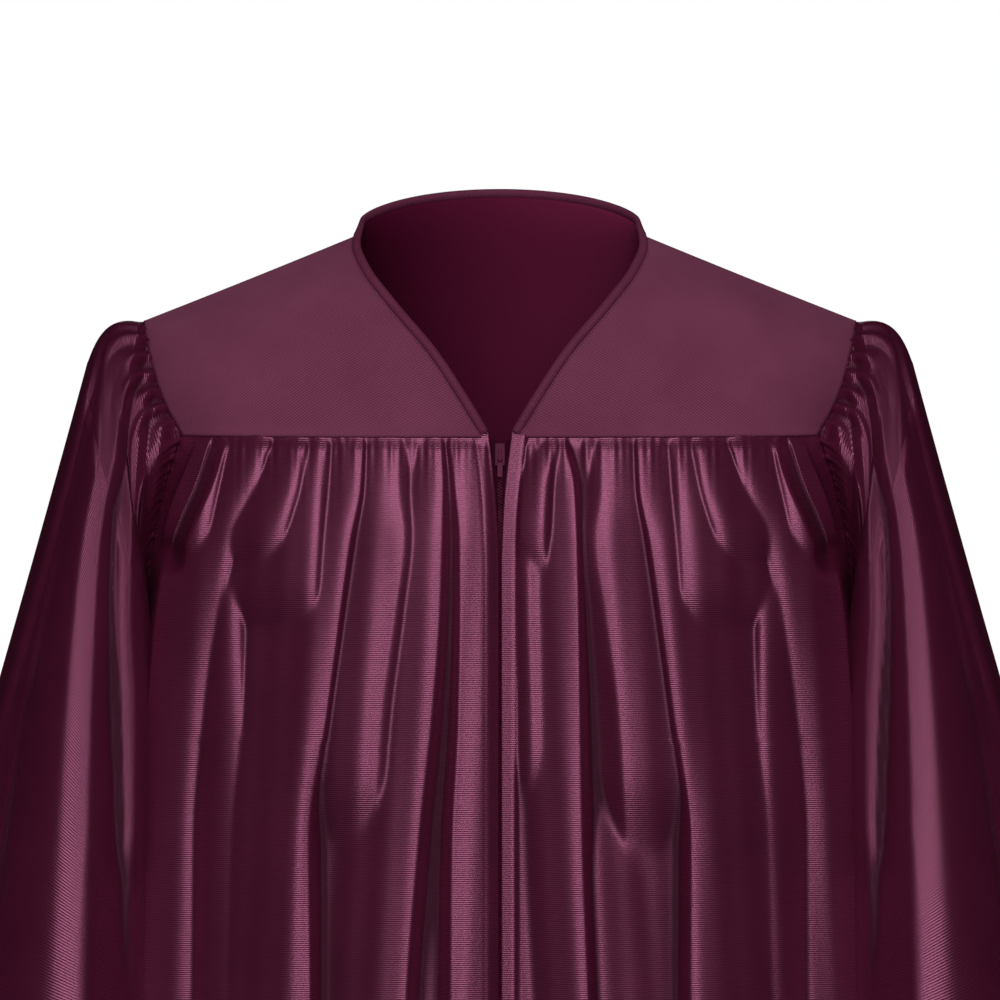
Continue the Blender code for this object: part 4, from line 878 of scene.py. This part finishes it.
def hollows(grid, normals, ring):
    """How hollow the cloth is: 0 on open cloth and 1 deep in a valley between folds, narrow or wide."""
    found = [
        np.clip(sunk(grid, normals, ring, across, depth) - OPEN_CLOTH, 0, most)
        for across, depth, most in VALLEYS
    ]
    return np.maximum(*found)


def add_object(name, data):
    """A new object in the scene."""
    obj = bpy.data.objects.new(name, data)
    bpy.context.scene.collection.objects.link(obj)
    return obj


def turn_outwards(mesh):
    bm = bmesh.new()
    bm.from_mesh(mesh)
    bmesh.ops.recalc_face_normals(bm, faces=bm.faces[:])
    bm.to_mesh(mesh)
    bm.free()


def build_mesh(name, points, faces, material, uv=None):
    """A smooth mesh, with a texture map in metres of cloth where one is given."""
    mesh = bpy.data.meshes.new(name)
    mesh.from_pydata([tuple(point) for point in points], [], [tuple(face) for face in faces])
    if uv is not None:
        corners = np.empty(len(mesh.loops), dtype=np.int32)
        mesh.loops.foreach_get("vertex_index", corners)
        mesh.uv_layers.new(name="cloth").data.foreach_set("uv", uv[corners].astype(np.float32).ravel())
    mesh.materials.append(material)
    mesh.shade_smooth()
    return add_object(name, mesh)


def shell(name, grid, uv, material, ring=False, inside=None, lined=None):
    """A thin closed shell of cloth whose outer face runs through a grid of points. Its inner face may have a
    material of its own."""
    rows, columns = grid.shape[:2]
    count = rows * columns
    normals = grid_normals(grid, ring)
    centre = inside if inside is not None else grid.reshape(-1, 3).mean(axis=0) * np.array([0, 0, 1])
    flip = bool((normals * (grid - centre)).sum() < 0)
    if flip:
        normals = -normals
    points = np.concatenate([grid.reshape(-1, 3), (grid - normals * SHELL).reshape(-1, 3)])
    faces = [grid_faces(rows, columns, ring, 0, flip), grid_faces(rows, columns, ring, count, not flip)]
    rims = [np.arange(columns)[::-1], np.arange(columns) + (rows - 1) * columns]
    if not ring:
        rims += [np.arange(rows) * columns, np.arange(rows)[::-1] * columns + columns - 1]
    for rim in rims:
        a, b = (rim, np.roll(rim, -1)) if ring else (rim[:-1], rim[1:])
        quads = np.stack([a, b, b + count, a + count], axis=1)
        faces.append(quads if flip else quads[:, ::-1])
    obj = build_mesh(name, points, np.concatenate(faces), material, np.tile(uv.reshape(-1, 2), (2, 1)))
    # how hollow the cloth is: the mask for the painted shadow and the dullness in valleys
    hollow = np.tile(hollows(grid, normals, ring).ravel(), 2).astype(np.float32)
    obj.data.attributes.new("hollow", "FLOAT", "POINT").data.foreach_set("value", hollow)
    if lined:
        obj.data.materials.append(lined)
        for face in obj.data.polygons[len(faces[0]):2 * len(faces[0])]:
            face.material_index = 1
    return obj


def mirrored(grid, side):
    return grid * np.array([1 if side == "left" else -1, 1, 1])


# ---- Colours and shader groups ----
# Each cloth's shade and light colours: the light one is a painted highlight on rib crests and the tone of
# random patches.
SATIN_SHADE = (0.047, 0.0022, 0.0145)
SATIN_LIGHT = (0.078, 0.0056, 0.0260)
YOKE_SHADE = (0.104, 0.018, 0.044)
YOKE_LIGHT = (0.208, 0.054, 0.104)
# the back yoke's inside: its colour in painted shade and in painted light
NECK_PAINTED_SHADE = (0.046, 0.0020, 0.0130)
NECK_PAINTED_LIGHT = (0.160, 0.0160, 0.0550)
BINDING_SHADE = (0.072, 0.0090, 0.0260)
BINDING_LIGHT = (0.160, 0.0320, 0.0720)
THREAD_COLOUR = (0.034, 0.0020, 0.0110)
TAPE_COLOUR = (0.020, 0.0012, 0.0065)
METAL_COLOUR = (0.026, 0.0024, 0.0092)
SATIN_GLOSS = (1.0, 0.32, 0.58)
RIB_HEIGHT = 0.00020
PAINTED_VALLEY_SHADOW = 0.3  # painted shadow: this share of a cloth's shade colour, deep between folds
VALLEY_ROUGHNESS = 0.62  # more than on open cloth
PATCH_SHARE = 0.3  # of the soft patches in a cloth's colour, the rest its ribs, lit on their crests as a painted highlight
PATCHES = {"cloth": 16.0, "paint": 400.0}  # how fine they are

# The woven cloths: their two colours, the pitch, turn in degrees and unevenness of the ribs, the roughness
# between the ribs and on their crests, and how strongly they stand out.
CLOTH_COLUMNS = ("name", "shade", "light", "pitch", "turn", "unevenness", "rough", "crest_rough", "depth")
CLOTHS = (
    ("satin", SATIN_SHADE, SATIN_LIGHT, 0.00135, 0, 0.35, 0.42, 0.36, 0.7),
    ("sleeve_satin", SATIN_SHADE, SATIN_LIGHT, 0.00150, 0, 0.35, 0.42, 0.36, 0.7),
    ("yoke_satin", YOKE_SHADE, YOKE_LIGHT, 0.0016, 10, 0.4, 0.75, 0.65, 0.7),
    ("binding_satin", BINDING_SHADE, BINDING_LIGHT, 0.0014, 90, 0.6, 0.6, 0.5, 1.0),
    ("thread", THREAD_COLOUR, SATIN_LIGHT, 0.0005, 60, 0.2, 0.55, 0.45, 0.5),
    ("zip_tape", TAPE_COLOUR, THREAD_COLOUR, 0.0007, 90, 0.3, 0.8, 0.7, 0.5),
)
GLOSS = {
    "satin": {"Specular_IOR_Level": 1.0, "IOR": 1.75},
    "sleeve_satin": {"Specular_IOR_Level": 1.0, "IOR": 1.75},
    "yoke_satin": {
        "Specular_IOR_Level": 0.25, "Sheen_Weight": 0.06, "Sheen_Roughness": 0.5,
        "Sheen_Tint": (1.0, 0.40, 0.66, 1),
    },
    "binding_satin": {"Specular_IOR_Level": 0.4},
    "thread": {"Specular_IOR_Level": 0.4},
    "zip_tape": {"Specular_IOR_Level": 0.1},
}


def socket(group, name, way, default=None):
    made = group.interface.new_socket(name=name, in_out=way, socket_type="NodeSocketFloat")
    if default is not None:
        made.default_value = default


def node(tree, kind, inputs=None, **settings):
    """A shader node with its settings, its inputs linked or given a value."""
    made = tree.nodes.new(kind)
    for name, value in settings.items():
        setattr(made, name, value)
    for key, value in (inputs or {}).items():
        if isinstance(value, bpy.types.NodeSocket):
            tree.links.new(value, made.inputs[key])
        else:
            made.inputs[key].default_value = value
    return made


def maths(tree, operation, *values):
    return node(tree, "ShaderNodeMath", dict(enumerate(values)), operation=operation).outputs[0]


def rib_group():
    """Fine ribs or twill lines across the cloth: their height, and a mask that is 1 on their crests."""
    group = bpy.data.node_groups.new("cloth_ribs", "ShaderNodeTree")
    for name, start in (("Pitch", 0.00135), ("Turn", 0.0), ("Unevenness", 0.5)):
        socket(group, name, "INPUT", start)
    for name in ("Height", "Crest"):
        socket(group, name, "OUTPUT")
    given, out = group.nodes.new("NodeGroupInput"), group.nodes.new("NodeGroupOutput")
    cloth = node(group, "ShaderNodeUVMap", uv_map="cloth").outputs[0]
    rotation = {"Vector": cloth, "Angle": given.outputs["Turn"]}
    turned = node(group, "ShaderNodeVectorRotate", rotation, rotation_type="Z_AXIS").outputs[0]
    apart = node(group, "ShaderNodeSeparateXYZ", {0: turned})
    slub = node(group, "ShaderNodeTexNoise", {"Vector": turned, "Scale": 320.0, "Detail": 2.0}).outputs[0]
    wander = maths(group, "MULTIPLY", maths(group, "SUBTRACT", slub, 0.5), given.outputs["Unevenness"])
    phase = maths(group, "ADD", maths(group, "DIVIDE", apart.outputs["Y"], given.outputs["Pitch"]), wander)
    wave = maths(group, "SINE", maths(group, "MULTIPLY", phase, 2 * math.pi))
    crest = maths(group, "MULTIPLY_ADD", wave, 0.5, 0.5)
    group.links.new(crest, out.inputs["Crest"])
    group.links.new(maths(group, "MULTIPLY", crest, RIB_HEIGHT), out.inputs["Height"])
    return group


def cloud_group():
    """Soft uneven patches, as where cloth was pressed and handled: a mask from 0 to 1."""
    group = bpy.data.node_groups.new("cloth_patches", "ShaderNodeTree")
    socket(group, "Scale", "INPUT", 20.0)
    socket(group, "Patches", "OUTPUT")
    given, out = group.nodes.new("NodeGroupInput"), group.nodes.new("NodeGroupOutput")
    noise = node(group, "ShaderNodeTexNoise", {
        "Vector": node(group, "ShaderNodeTexCoord").outputs["Object"],
        "Scale": given.outputs["Scale"],
        "Detail": 3.0,
        "Roughness": 0.55,
    })
    spread = node(group, "ShaderNodeMapRange", {0: noise.outputs[0], 1: 0.32, 2: 0.68}, clamp=True)
    group.links.new(spread.outputs[0], out.inputs["Patches"])
    return group


def new_material(name, **constants):
    """A Principled material whose constant values are set on its own sockets."""
    material = bpy.data.materials.new(name)
    material.use_nodes = True
    shader = material.node_tree.nodes["Principled BSDF"]
    for key, value in constants.items():
        shader.inputs[key.replace("_", " ")].default_value = value
    return material, material.node_tree, shader


def colour_mix(tree, share, low, high):
    """A mix of two colours, low where share is 0. Each is a colour or a socket."""
    mixed = node(tree, "ShaderNodeMix", {"Factor": share}, data_type="RGBA")
    for name, colour in (("A", low), ("B", high)):
        if isinstance(colour, bpy.types.NodeSocket):
            tree.links.new(colour, mixed.inputs[name])
        else:
            mixed.inputs[name].default_value = (*colour, 1)
    return mixed.outputs["Result"]


def ribs_on(tree, ribs, pitch, turn, unevenness=None):
    """The ribs' group in a material, turned this many degrees."""
    lines = node(tree, "ShaderNodeGroup", node_tree=ribs)
    lines.inputs["Pitch"].default_value = pitch
    lines.inputs["Turn"].default_value = math.radians(turn)
    if unevenness is not None:
        lines.inputs["Unevenness"].default_value = unevenness
    return lines


def patches_on(tree, patches, scale):
    soft = node(tree, "ShaderNodeGroup", node_tree=patches)
    soft.inputs["Scale"].default_value = scale
    return soft.outputs["Patches"]


def raise_ribs(tree, shader, lines, depth):
    height = lines.outputs["Height"]
    bump = node(tree, "ShaderNodeBump", {"Strength": depth, "Distance": 1.0, "Height": height})
    tree.links.new(bump.outputs[0], shader.inputs["Normal"])


def weave(name, ribs, patches, cloth, **constants):
    """A woven cloth: ribs in its colour, gloss and surface, a painted highlight on their crests, over soft
    patches, with painted shadow and dullness in valleys.
    """
    material, tree, shader = new_material(name, **constants)
    lines = ribs_on(tree, ribs, cloth["pitch"], cloth["turn"], cloth["unevenness"])
    crest, soft = lines.outputs["Crest"], patches_on(tree, patches, PATCHES["cloth"])
    soft_share = maths(tree, "MULTIPLY", soft, PATCH_SHARE)
    # painted highlight: the light colour on the ribs' crests, with random patches of tone
    share = maths(tree, "ADD", maths(tree, "MULTIPLY", crest, 1 - PATCH_SHARE), soft_share)
    hollow = node(tree, "ShaderNodeAttribute", attribute_name="hollow").outputs["Fac"]
    # painted shadow: the shade colour darkened, mixed in deep in valleys between folds
    deep = [PAINTED_VALLEY_SHADOW * value for value in cloth["shade"]]
    colour = colour_mix(tree, hollow, colour_mix(tree, share, cloth["shade"], cloth["light"]), deep)
    tree.links.new(colour, shader.inputs["Base Color"])
    smoother = cloth["crest_rough"] - cloth["rough"]
    roughness = maths(tree, "MULTIPLY_ADD", crest, smoother, cloth["rough"])
    dull = maths(tree, "MULTIPLY_ADD", maths(tree, "POWER", hollow, 3.0), VALLEY_ROUGHNESS, roughness)
    tree.links.new(dull, shader.inputs["Roughness"])
    raise_ribs(tree, shader, lines, cloth["depth"])
    return material


# The back yoke's inside: its twill, and from where to where along X it goes from painted shade to light.
INSIDE = {"pitch": 0.00126, "turn": -42, "crest": 0.12, "depth": 0.4, "dark": -0.09, "pale": 0.12}


def inside_cloth(ribs):
    """The matte inside of the back yoke in painted shade and light, paler towards the wearer's left."""
    material, tree, shader = new_material("yoke_inside", Specular_IOR_Level=0.0, Roughness=0.85)
    lines = ribs_on(tree, ribs, INSIDE["pitch"], INSIDE["turn"])
    apart = node(tree, "ShaderNodeSeparateXYZ", {0: node(tree, "ShaderNodeTexCoord").outputs["Object"]})
    along_x = {0: apart.outputs["X"], 1: INSIDE["dark"], 2: INSIDE["pale"]}
    # painted light: paler along X towards the wearer's left, where light falls from that side
    pale = node(tree, "ShaderNodeMapRange", along_x, clamp=True).outputs[0]
    share = maths(tree, "MULTIPLY_ADD", lines.outputs["Crest"], INSIDE["crest"], pale)
    tree.links.new(colour_mix(tree, share, NECK_PAINTED_SHADE, NECK_PAINTED_LIGHT), shader.inputs["Base Color"])
    raise_ribs(tree, shader, lines, INSIDE["depth"])
    return material


def make_materials():
    ribs, patches = rib_group(), cloud_group()
    tint = (*SATIN_GLOSS, 1)
    made = {}
    for cloth in rows_of(CLOTH_COLUMNS, CLOTHS):
        name = cloth["name"]
        made[name] = weave(name, ribs, patches, cloth, Specular_Tint=tint, **GLOSS[name])
    made["yoke_inside"] = inside_cloth(ribs)
    enamel, tree, shader = new_material("painted_zip", Metallic=0.1, Specular_Tint=tint)
    soft = patches_on(tree, patches, PATCHES["paint"])
    tree.links.new(colour_mix(tree, soft, METAL_COLOUR, SATIN_LIGHT), shader.inputs["Base Color"])
    tree.links.new(maths(tree, "MULTIPLY_ADD", soft, 0.12, 0.42), shader.inputs["Roughness"])
    made["metal"] = enamel
    return made


# ---- The pieces ----
# Points across a front and half the back, round the front and the back of a sleeve, and across and down a
# yoke.
ACROSS = {"front": 240, "back": 125, "sleeve": (210, 110)}
YOKE_POINTS = {"front": (70, 60), "back": (60, 50)}


def carry(obj, slot, *nodes):
    """Lets a piece ride on the robe and hides the solids that it stands for; its slot is not used."""
    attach(obj, "robe")
    if nodes:
        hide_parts(*nodes)
    return obj


def on_side(rows, side):
    return [row for row in rows if row["side"] in ("both", side)]


def mesh_piece(name, slot, points, faces, material):
    """A piece from plain points and faces, its faces turned outwards, with no texture map of its own."""
    obj = build_mesh(name, points, faces, material)
    turn_outwards(obj.data)
    return carry(obj, slot)


def sew(name, line, out, material, stitch=STITCH):
    """A row of stitches along a line on the cloth: each is a short spindle of thread that dips in at both
    ends. out gives the way off the cloth along the line."""
    thread = stitch["thread"]
    along = lengths_along(line)
    starts = np.arange(stitch["gap"], along[-1] - stitch["length"], stitch["length"] + stitch["gap"])
    points, faces = [], []
    for start in starts:
        at = (start + stitch["length"] * SPINDLE["shares"]) / along[-1]
        middle = read_at(line, at)
        off = unit(np.stack([np.interp(at * along[-1], along, out[:, k]) for k in range(3)], axis=1))
        aside = unit(np.cross(unit(middle[-1] - middle[0]), off[1]))
        first = len(points)
        points.append(middle[0] - off[0] * thread)
        for k in (1, 2):
            for angle in np.arange(THREAD_SIDES) * 2 * math.pi / THREAD_SIDES:
                reach = thread * (math.cos(angle) * off[k] + math.sin(angle) * aside)
                points.append(middle[k] + reach + off[k] * SPINDLE["rise"] * thread)
        points.append(middle[3] - off[3] * thread)
        last = len(points) - 1
        for i in range(THREAD_SIDES):
            j = (i + 1) % THREAD_SIDES
            a, b = first + 1 + i, first + 1 + j
            c, d = a + THREAD_SIDES, b + THREAD_SIDES
            faces += [(first, a, b), (last, d, c), (a, c, d, b)]
    return mesh_piece(name, "satin", points, faces, material)


def topstitch(side, grid, material):
    """The scalloped machine stitch of a front's turned edge: one thread that sways down the placket."""
    heights = grid[:, 0, 2]
    own = mirrored(grid, side)
    inset = np.array([row[0, 0] for row in own]) + PLACKET["stitch"]
    depth = np.array([np.interp(x, row[:, 0], row[:, 1]) for x, row in zip(inset, own)])
    ends = (YOKE_SEAM - SCALLOP["from_ends"], HEM_HEIGHT + SCALLOP["from_ends"])
    z = np.arange(*ends, -SCALLOP["pitch"] / 4)
    step = np.arange(len(z))
    thread = SCALLOP["thread"]
    lift = thread * np.cos(math.pi * step / 2)
    x = np.interp(-z, -heights, inset) + SCALLOP["sway"] * np.abs(np.sin(math.pi * step / 4))
    y = np.interp(-z, -heights, depth) - SCALLOP["sunk"] * thread - SCALLOP["sunk"] * lift
    angle = np.arange(THREAD_SIDES) * 2 * math.pi / THREAD_SIDES
    around = thread * np.stack([np.cos(angle), -np.sin(angle), 0 * angle], axis=1)
    middle = np.stack([x, y, z], axis=1)
    points = mirrored((middle[:, None] + around[None]).reshape(-1, 3), side)
    faces = [tuple(face) for face in grid_faces(len(z), THREAD_SIDES, True)]
    faces += [tuple(range(THREAD_SIDES)), tuple(range(len(points) - THREAD_SIDES, len(points)))]
    mesh_piece(f"topstitch_{side}", "satin", points, faces, material)


def make_front(side, material, thread):
    top = YOKE_SEAM - SEAM_GAP
    folds = on_side(rows_of(FRONT_COLUMNS, FRONT_FOLDS), side)
    gathers = on_side(rows_of(GATHER_COLUMNS, FRONT_GATHERS), side)
    heights = panel_heights(top)
    rows = [panel_row(z, ACROSS["front"], True, side, folds, gathers, top) for z in heights]
    grid = mirrored(np.stack([row[0] for row in rows]), side)
    uv = np.stack([np.stack([row[1], np.full(len(row[1]), z)], axis=1) for row, z in zip(rows, heights)])
    obj = carry(shell(f"front_{side}_shell", grid, uv, material), "satin", f"front_{side}")
    topstitch(side, grid, thread)
    sew(f"hem_stitch_front_{side}", grid[-4], np.tile([0.0, -1.0, 0.0], (grid.shape[1], 1)), thread)


def make_back(material, thread):
    top = BACK_YOKE_SEAM - SEAM_GAP
    folds, gathers = rows_of(BACK_COLUMNS, BACK_FOLDS), rows_of(GATHER_COLUMNS[1:], BACK_GATHERS)
    heights = panel_heights(top)
    grid, uv = [], []
    for z in heights:
        half, across = panel_row(z, ACROSS["back"], False, "back", folds, gathers, top)
        grid.append(np.concatenate([half[:0:-1] * np.array([-1, 1, 1]), half]))
        across = np.concatenate([-across[:0:-1], across])
        uv.append(np.stack([across, np.full(len(across), z)], axis=1))
    obj = carry(shell("back_shell", np.stack(grid), np.stack(uv), material), "satin", "back")
    sew("hem_stitch_back", grid[-4], np.tile([0.0, 1.0, 0.0], (len(grid[-4]), 1)), thread)


def make_sleeve(side, material, thread):
    downs = [np.arange(*span) for span in SLEEVE_ROWS]
    grid, uv = sleeve_grid(np.concatenate([*downs, 2 - HEM_ROWS / SLEEVE_LENGTH]), *ACROSS["sleeve"])
    grid = mirrored(grid, side)
    middle = grid.mean(axis=1, keepdims=True)
    obj = shell(f"sleeve_{side}_shell", grid, uv, material, ring=True, inside=middle)
    carry(obj, "satin", f"sleeve_{side}")
    line = np.vstack([grid[-4], grid[-4, :1]])
    sew(f"cuff_stitch_{side}", line, unit(line - line[:-1].mean(axis=0)), thread)


def flat_uv(grid):
    """A texture map for a smooth panel, from its own lengths across and down."""
    rows, columns = grid.shape[:2]
    across = np.cumsum(np.linalg.norm(np.diff(grid, axis=1), axis=2), axis=1)
    down = np.cumsum(np.linalg.norm(np.diff(grid, axis=0), axis=2), axis=0)
    across = np.concatenate([np.zeros((rows, 1)), across], axis=1)
    return np.stack([across, -np.concatenate([np.zeros((1, columns)), down])], axis=2)


def make_yokes(material, within):
    in_front, behind = np.array([0, 0.06, -0.2]), np.array([0, -0.03, -0.2])  # points inside the robe
    for side in ("left", "right"):
        grid = mirrored(with_lip(front_yoke_rows(*YOKE_POINTS["front"])), side)
        obj = shell(f"yoke_front_{side}_shell", grid, flat_uv(grid), material, inside=in_front)
        carry(obj, "yoke_satin", f"yoke_front_{side}")
    grid = with_lip(back_yoke_rows(*YOKE_POINTS["back"]))
    obj = shell("yoke_back_shell", grid, flat_uv(grid), material, inside=behind, lined=within)
    carry(obj, "yoke_satin", "yoke_back")


def make_binding(material):
    """The rolled band round the neck, closed at its two ends."""
    line, away, across = binding_line()
    middle = line + away * (BINDING_HALF_WIDTH - BINDING_OVERLAP) - across * SHELL / 2
    angle = np.linspace(0, 2 * math.pi, BINDING_SIDES, endpoint=False)
    rings = (
        middle[:, None]
        + away[:, None] * BINDING_HALF_WIDTH * np.cos(angle)[:, None]
        + across[:, None] * BINDING_HALF_THICKNESS * np.sin(angle)[:, None]
    )
    steps, columns = lengths_along(line), len(angle)
    uv = np.stack(np.meshgrid(steps, angle * BINDING_HALF_WIDTH, indexing="ij"), axis=2)
    points = np.concatenate([rings.reshape(-1, 3), middle[[0, -1]]])
    faces = [tuple(face) for face in grid_faces(len(rings), columns, True)]
    for centre, first, turn in ((len(points) - 2, 0, 1), (len(points) - 1, (len(rings) - 1) * columns, -1)):
        faces += [(centre, first + i, first + (i + 1) % columns)[::turn] for i in range(columns)]
    uv = np.concatenate([uv.reshape(-1, 2), [[0, 0], [steps[-1], 0]]])
    obj = build_mesh("neck_binding_roll", points, faces, material, uv)
    turn_outwards(obj.data)
    carry(obj, "satin", "neck_binding")


def armhole_stitches(side, thread):
    """Stitches along the armhole, beside the gathered head of the sleeve."""
    loop = armhole_loop()
    line = np.vstack([loop, loop[:1]])
    out = unit(line - np.array(ARMHOLE_STITCH["within"])) * np.array(ARMHOLE_STITCH["flatten"])
    out = unit(out)
    line = line + out * ARMHOLE_STITCH["out"]
    sew(f"armhole_stitch_{side}", mirrored(line, side), mirrored(out, side), thread)


def neck_stitches(thread):
    """The row of stitches beside the neck binding."""
    line, away, across = binding_line()
    sew("neck_stitch", line - away * NECK_STITCH, across, thread, FINE_STITCH)


def make_teeth(side, material):
    """The zip's teeth on one tape, and its bottom stop, behind the fronts' meeting edges."""
    sign = 1 if side == "left" else -1
    pitch, ends = TEETH["pitch"], TEETH["ends"]
    tops = np.arange(TEETH["starts"], ends, -pitch) - (0.5 * pitch if sign < 0 else 0)
    blocks = [(TEETH["inner"], TEETH["outer"], z, z - TEETH["height"]) for z in tops]
    blocks.append((TEETH["stop_inner"], TEETH["stop_outer"], ends, ends - TEETH["stop"]))
    points, faces = [], []
    for inner, outer, top, low in blocks:
        front = -body_size(top)[1] + TEETH["behind"]
        first = len(points)
        depths = (front, front + TEETH["depth"])
        points += [(sign * x, y, z) for x in (inner, outer) for y in depths for z in (top, low)]
        corners = ((0, 1, 3, 2), (4, 6, 7, 5), (0, 4, 5, 1), (2, 3, 7, 6), (0, 2, 6, 4), (1, 5, 7, 3))
        faces += [tuple(first + corner for corner in face) for face in corners]
    mesh_piece(f"zip_teeth_{side}", "painted_zip", points, faces, material)


METAL_EDGES = {"flat": 2, "sharp": 30}  # in degrees between two faces


def round_off(name, body, material, width):
    """Shows a small metal part with its edges rounded."""
    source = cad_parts[name]
    mesh = source.data.copy()
    mesh.transform(source.matrix_world)
    bm = bmesh.new()
    bm.from_mesh(mesh)
    bmesh.ops.remove_doubles(bm, verts=bm.verts[:], dist=1e-6)
    flat, bent = (math.radians(METAL_EDGES[k]) for k in ("flat", "sharp"))
    bmesh.ops.dissolve_limit(bm, angle_limit=flat, verts=bm.verts[:], edges=bm.edges[:])
    sharp = [edge for edge in bm.edges if edge.calc_face_angle(0.0) > bent]
    bmesh.ops.bevel(bm, geom=sharp, offset=width, segments=3, profile=0.5, affect="EDGES", clamp_overlap=True)
    bm.to_mesh(mesh)
    bm.free()
    mesh.materials.clear()
    mesh.materials.append(material)
    mesh.shade_smooth()
    obj = add_object(f"{name}_rounded", mesh)
    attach(obj, body)
    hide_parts(name)


# ---- Camera, light and floor ----
# The camera's height is in degrees above the target.
CAMERA = {"distance": 3.0, "height": 2.5, "target": (0.0, 0.0, -0.178), "lens": 160.0, "sensor": 36.0}


def make_camera():
    data = bpy.data.cameras.new("camera")
    data.lens = CAMERA["lens"]
    data.sensor_width = CAMERA["sensor"]
    camera = add_object("camera", data)
    rise = math.radians(CAMERA["height"])
    back = Vector((0, -math.cos(rise), math.sin(rise)))
    camera.location = Vector(CAMERA["target"]) + back * CAMERA["distance"]
    camera.rotation_euler = (-back).to_track_quat("-Z", "Y").to_euler()
    bpy.context.scene.camera = camera


LIGHTS = (
    # name, place, aim, width, height, watts, whether it glints on the satin
    ("front_softbox", (0.0, -3.4, 0.85), (0.0, 0.0, -0.45), 1.0, 3.4, 61.0, True),
    ("top_softbox", (0.0, -1.2, 2.2), (0.0, 0.0, -0.2), 1.1, 1.0, 12.0, True),
    ("back_softbox", (0.0, 3.6, -0.4), (0.0, 0.0, -0.5), 1.3, 1.7, 50.0, True),
    ("left_fill", (2.6, 0.6, 0.9), (0.0, 0.0, -0.5), 1.2, 2.4, 14.0, False),
    ("right_fill", (-2.6, 0.6, 0.9), (0.0, 0.0, -0.5), 1.2, 2.4, 14.0, False),
)


def make_lights():
    for name, where, aim, width, height, watts, glints in LIGHTS:
        data = bpy.data.lights.new(name, "AREA")
        data.shape = "RECTANGLE"
        data.size, data.size_y = width, height
        data.energy = watts
        light = add_object(name, data)
        light.location = where
        light.visible_glossy = glints
        light.rotation_euler = (Vector(aim) - Vector(where)).to_track_quat("-Z", "Y").to_euler()


WORLD_LIGHT = 0.18
FLOOR = 3.5
UNDER_HEM = 0.004  # how far under the hem the floor lies


def make_world():
    """A white backdrop that gives only a little light."""
    world = bpy.data.worlds.new("studio")
    bpy.context.scene.world = world
    world.use_nodes = True
    tree = world.node_tree
    background = tree.nodes["Background"]
    background.inputs["Color"].default_value = (1, 1, 1, 1)
    rays = node(tree, "ShaderNodeLightPath").outputs
    strength = maths(tree, "MULTIPLY_ADD", rays["Is Diffuse Ray"], WORLD_LIGHT, rays["Is Camera Ray"])
    tree.links.new(strength, background.inputs["Strength"])


def make_floor():
    material, _, shader = new_material("floor", Roughness=0.9)
    shader.inputs["Base Color"].default_value = (0.80, 0.79, 0.79, 1)
    corners = [(-FLOOR, -FLOOR, 0), (FLOOR, -FLOOR, 0), (FLOOR, FLOOR, 0), (-FLOOR, FLOOR, 0)]
    floor = build_mesh("floor", corners, [(0, 1, 2, 3)], material)
    floor.location = (0, 0, HEM_HEIGHT - UNDER_HEM)
    floor.visible_glossy = False


def main():
    bpy.context.scene.view_settings.view_transform = "Standard"
    make_camera()
    make_lights()
    make_world()
    make_floor()
    finishes = make_materials()
    thread, metal = finishes["thread"], finishes["metal"]
    for side in ("left", "right"):
        make_front(side, finishes["satin"], thread)
        make_sleeve(side, finishes["sleeve_satin"], thread)
        armhole_stitches(side, thread)
        make_teeth(side, metal)
    make_back(finishes["satin"], thread)
    make_yokes(finishes["yoke_satin"], finishes["yoke_inside"])
    make_binding(finishes["binding_satin"])
    neck_stitches(thread)
    round_off("zip_slider", "robe", metal, 0.00045)
    round_off("zip_pull", "zip_pull", metal, 0.00025)
    for name in ("zip_tape_left", "zip_tape_right"):
        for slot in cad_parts[name].material_slots:
            slot.material = finishes["zip_tape"]


main()
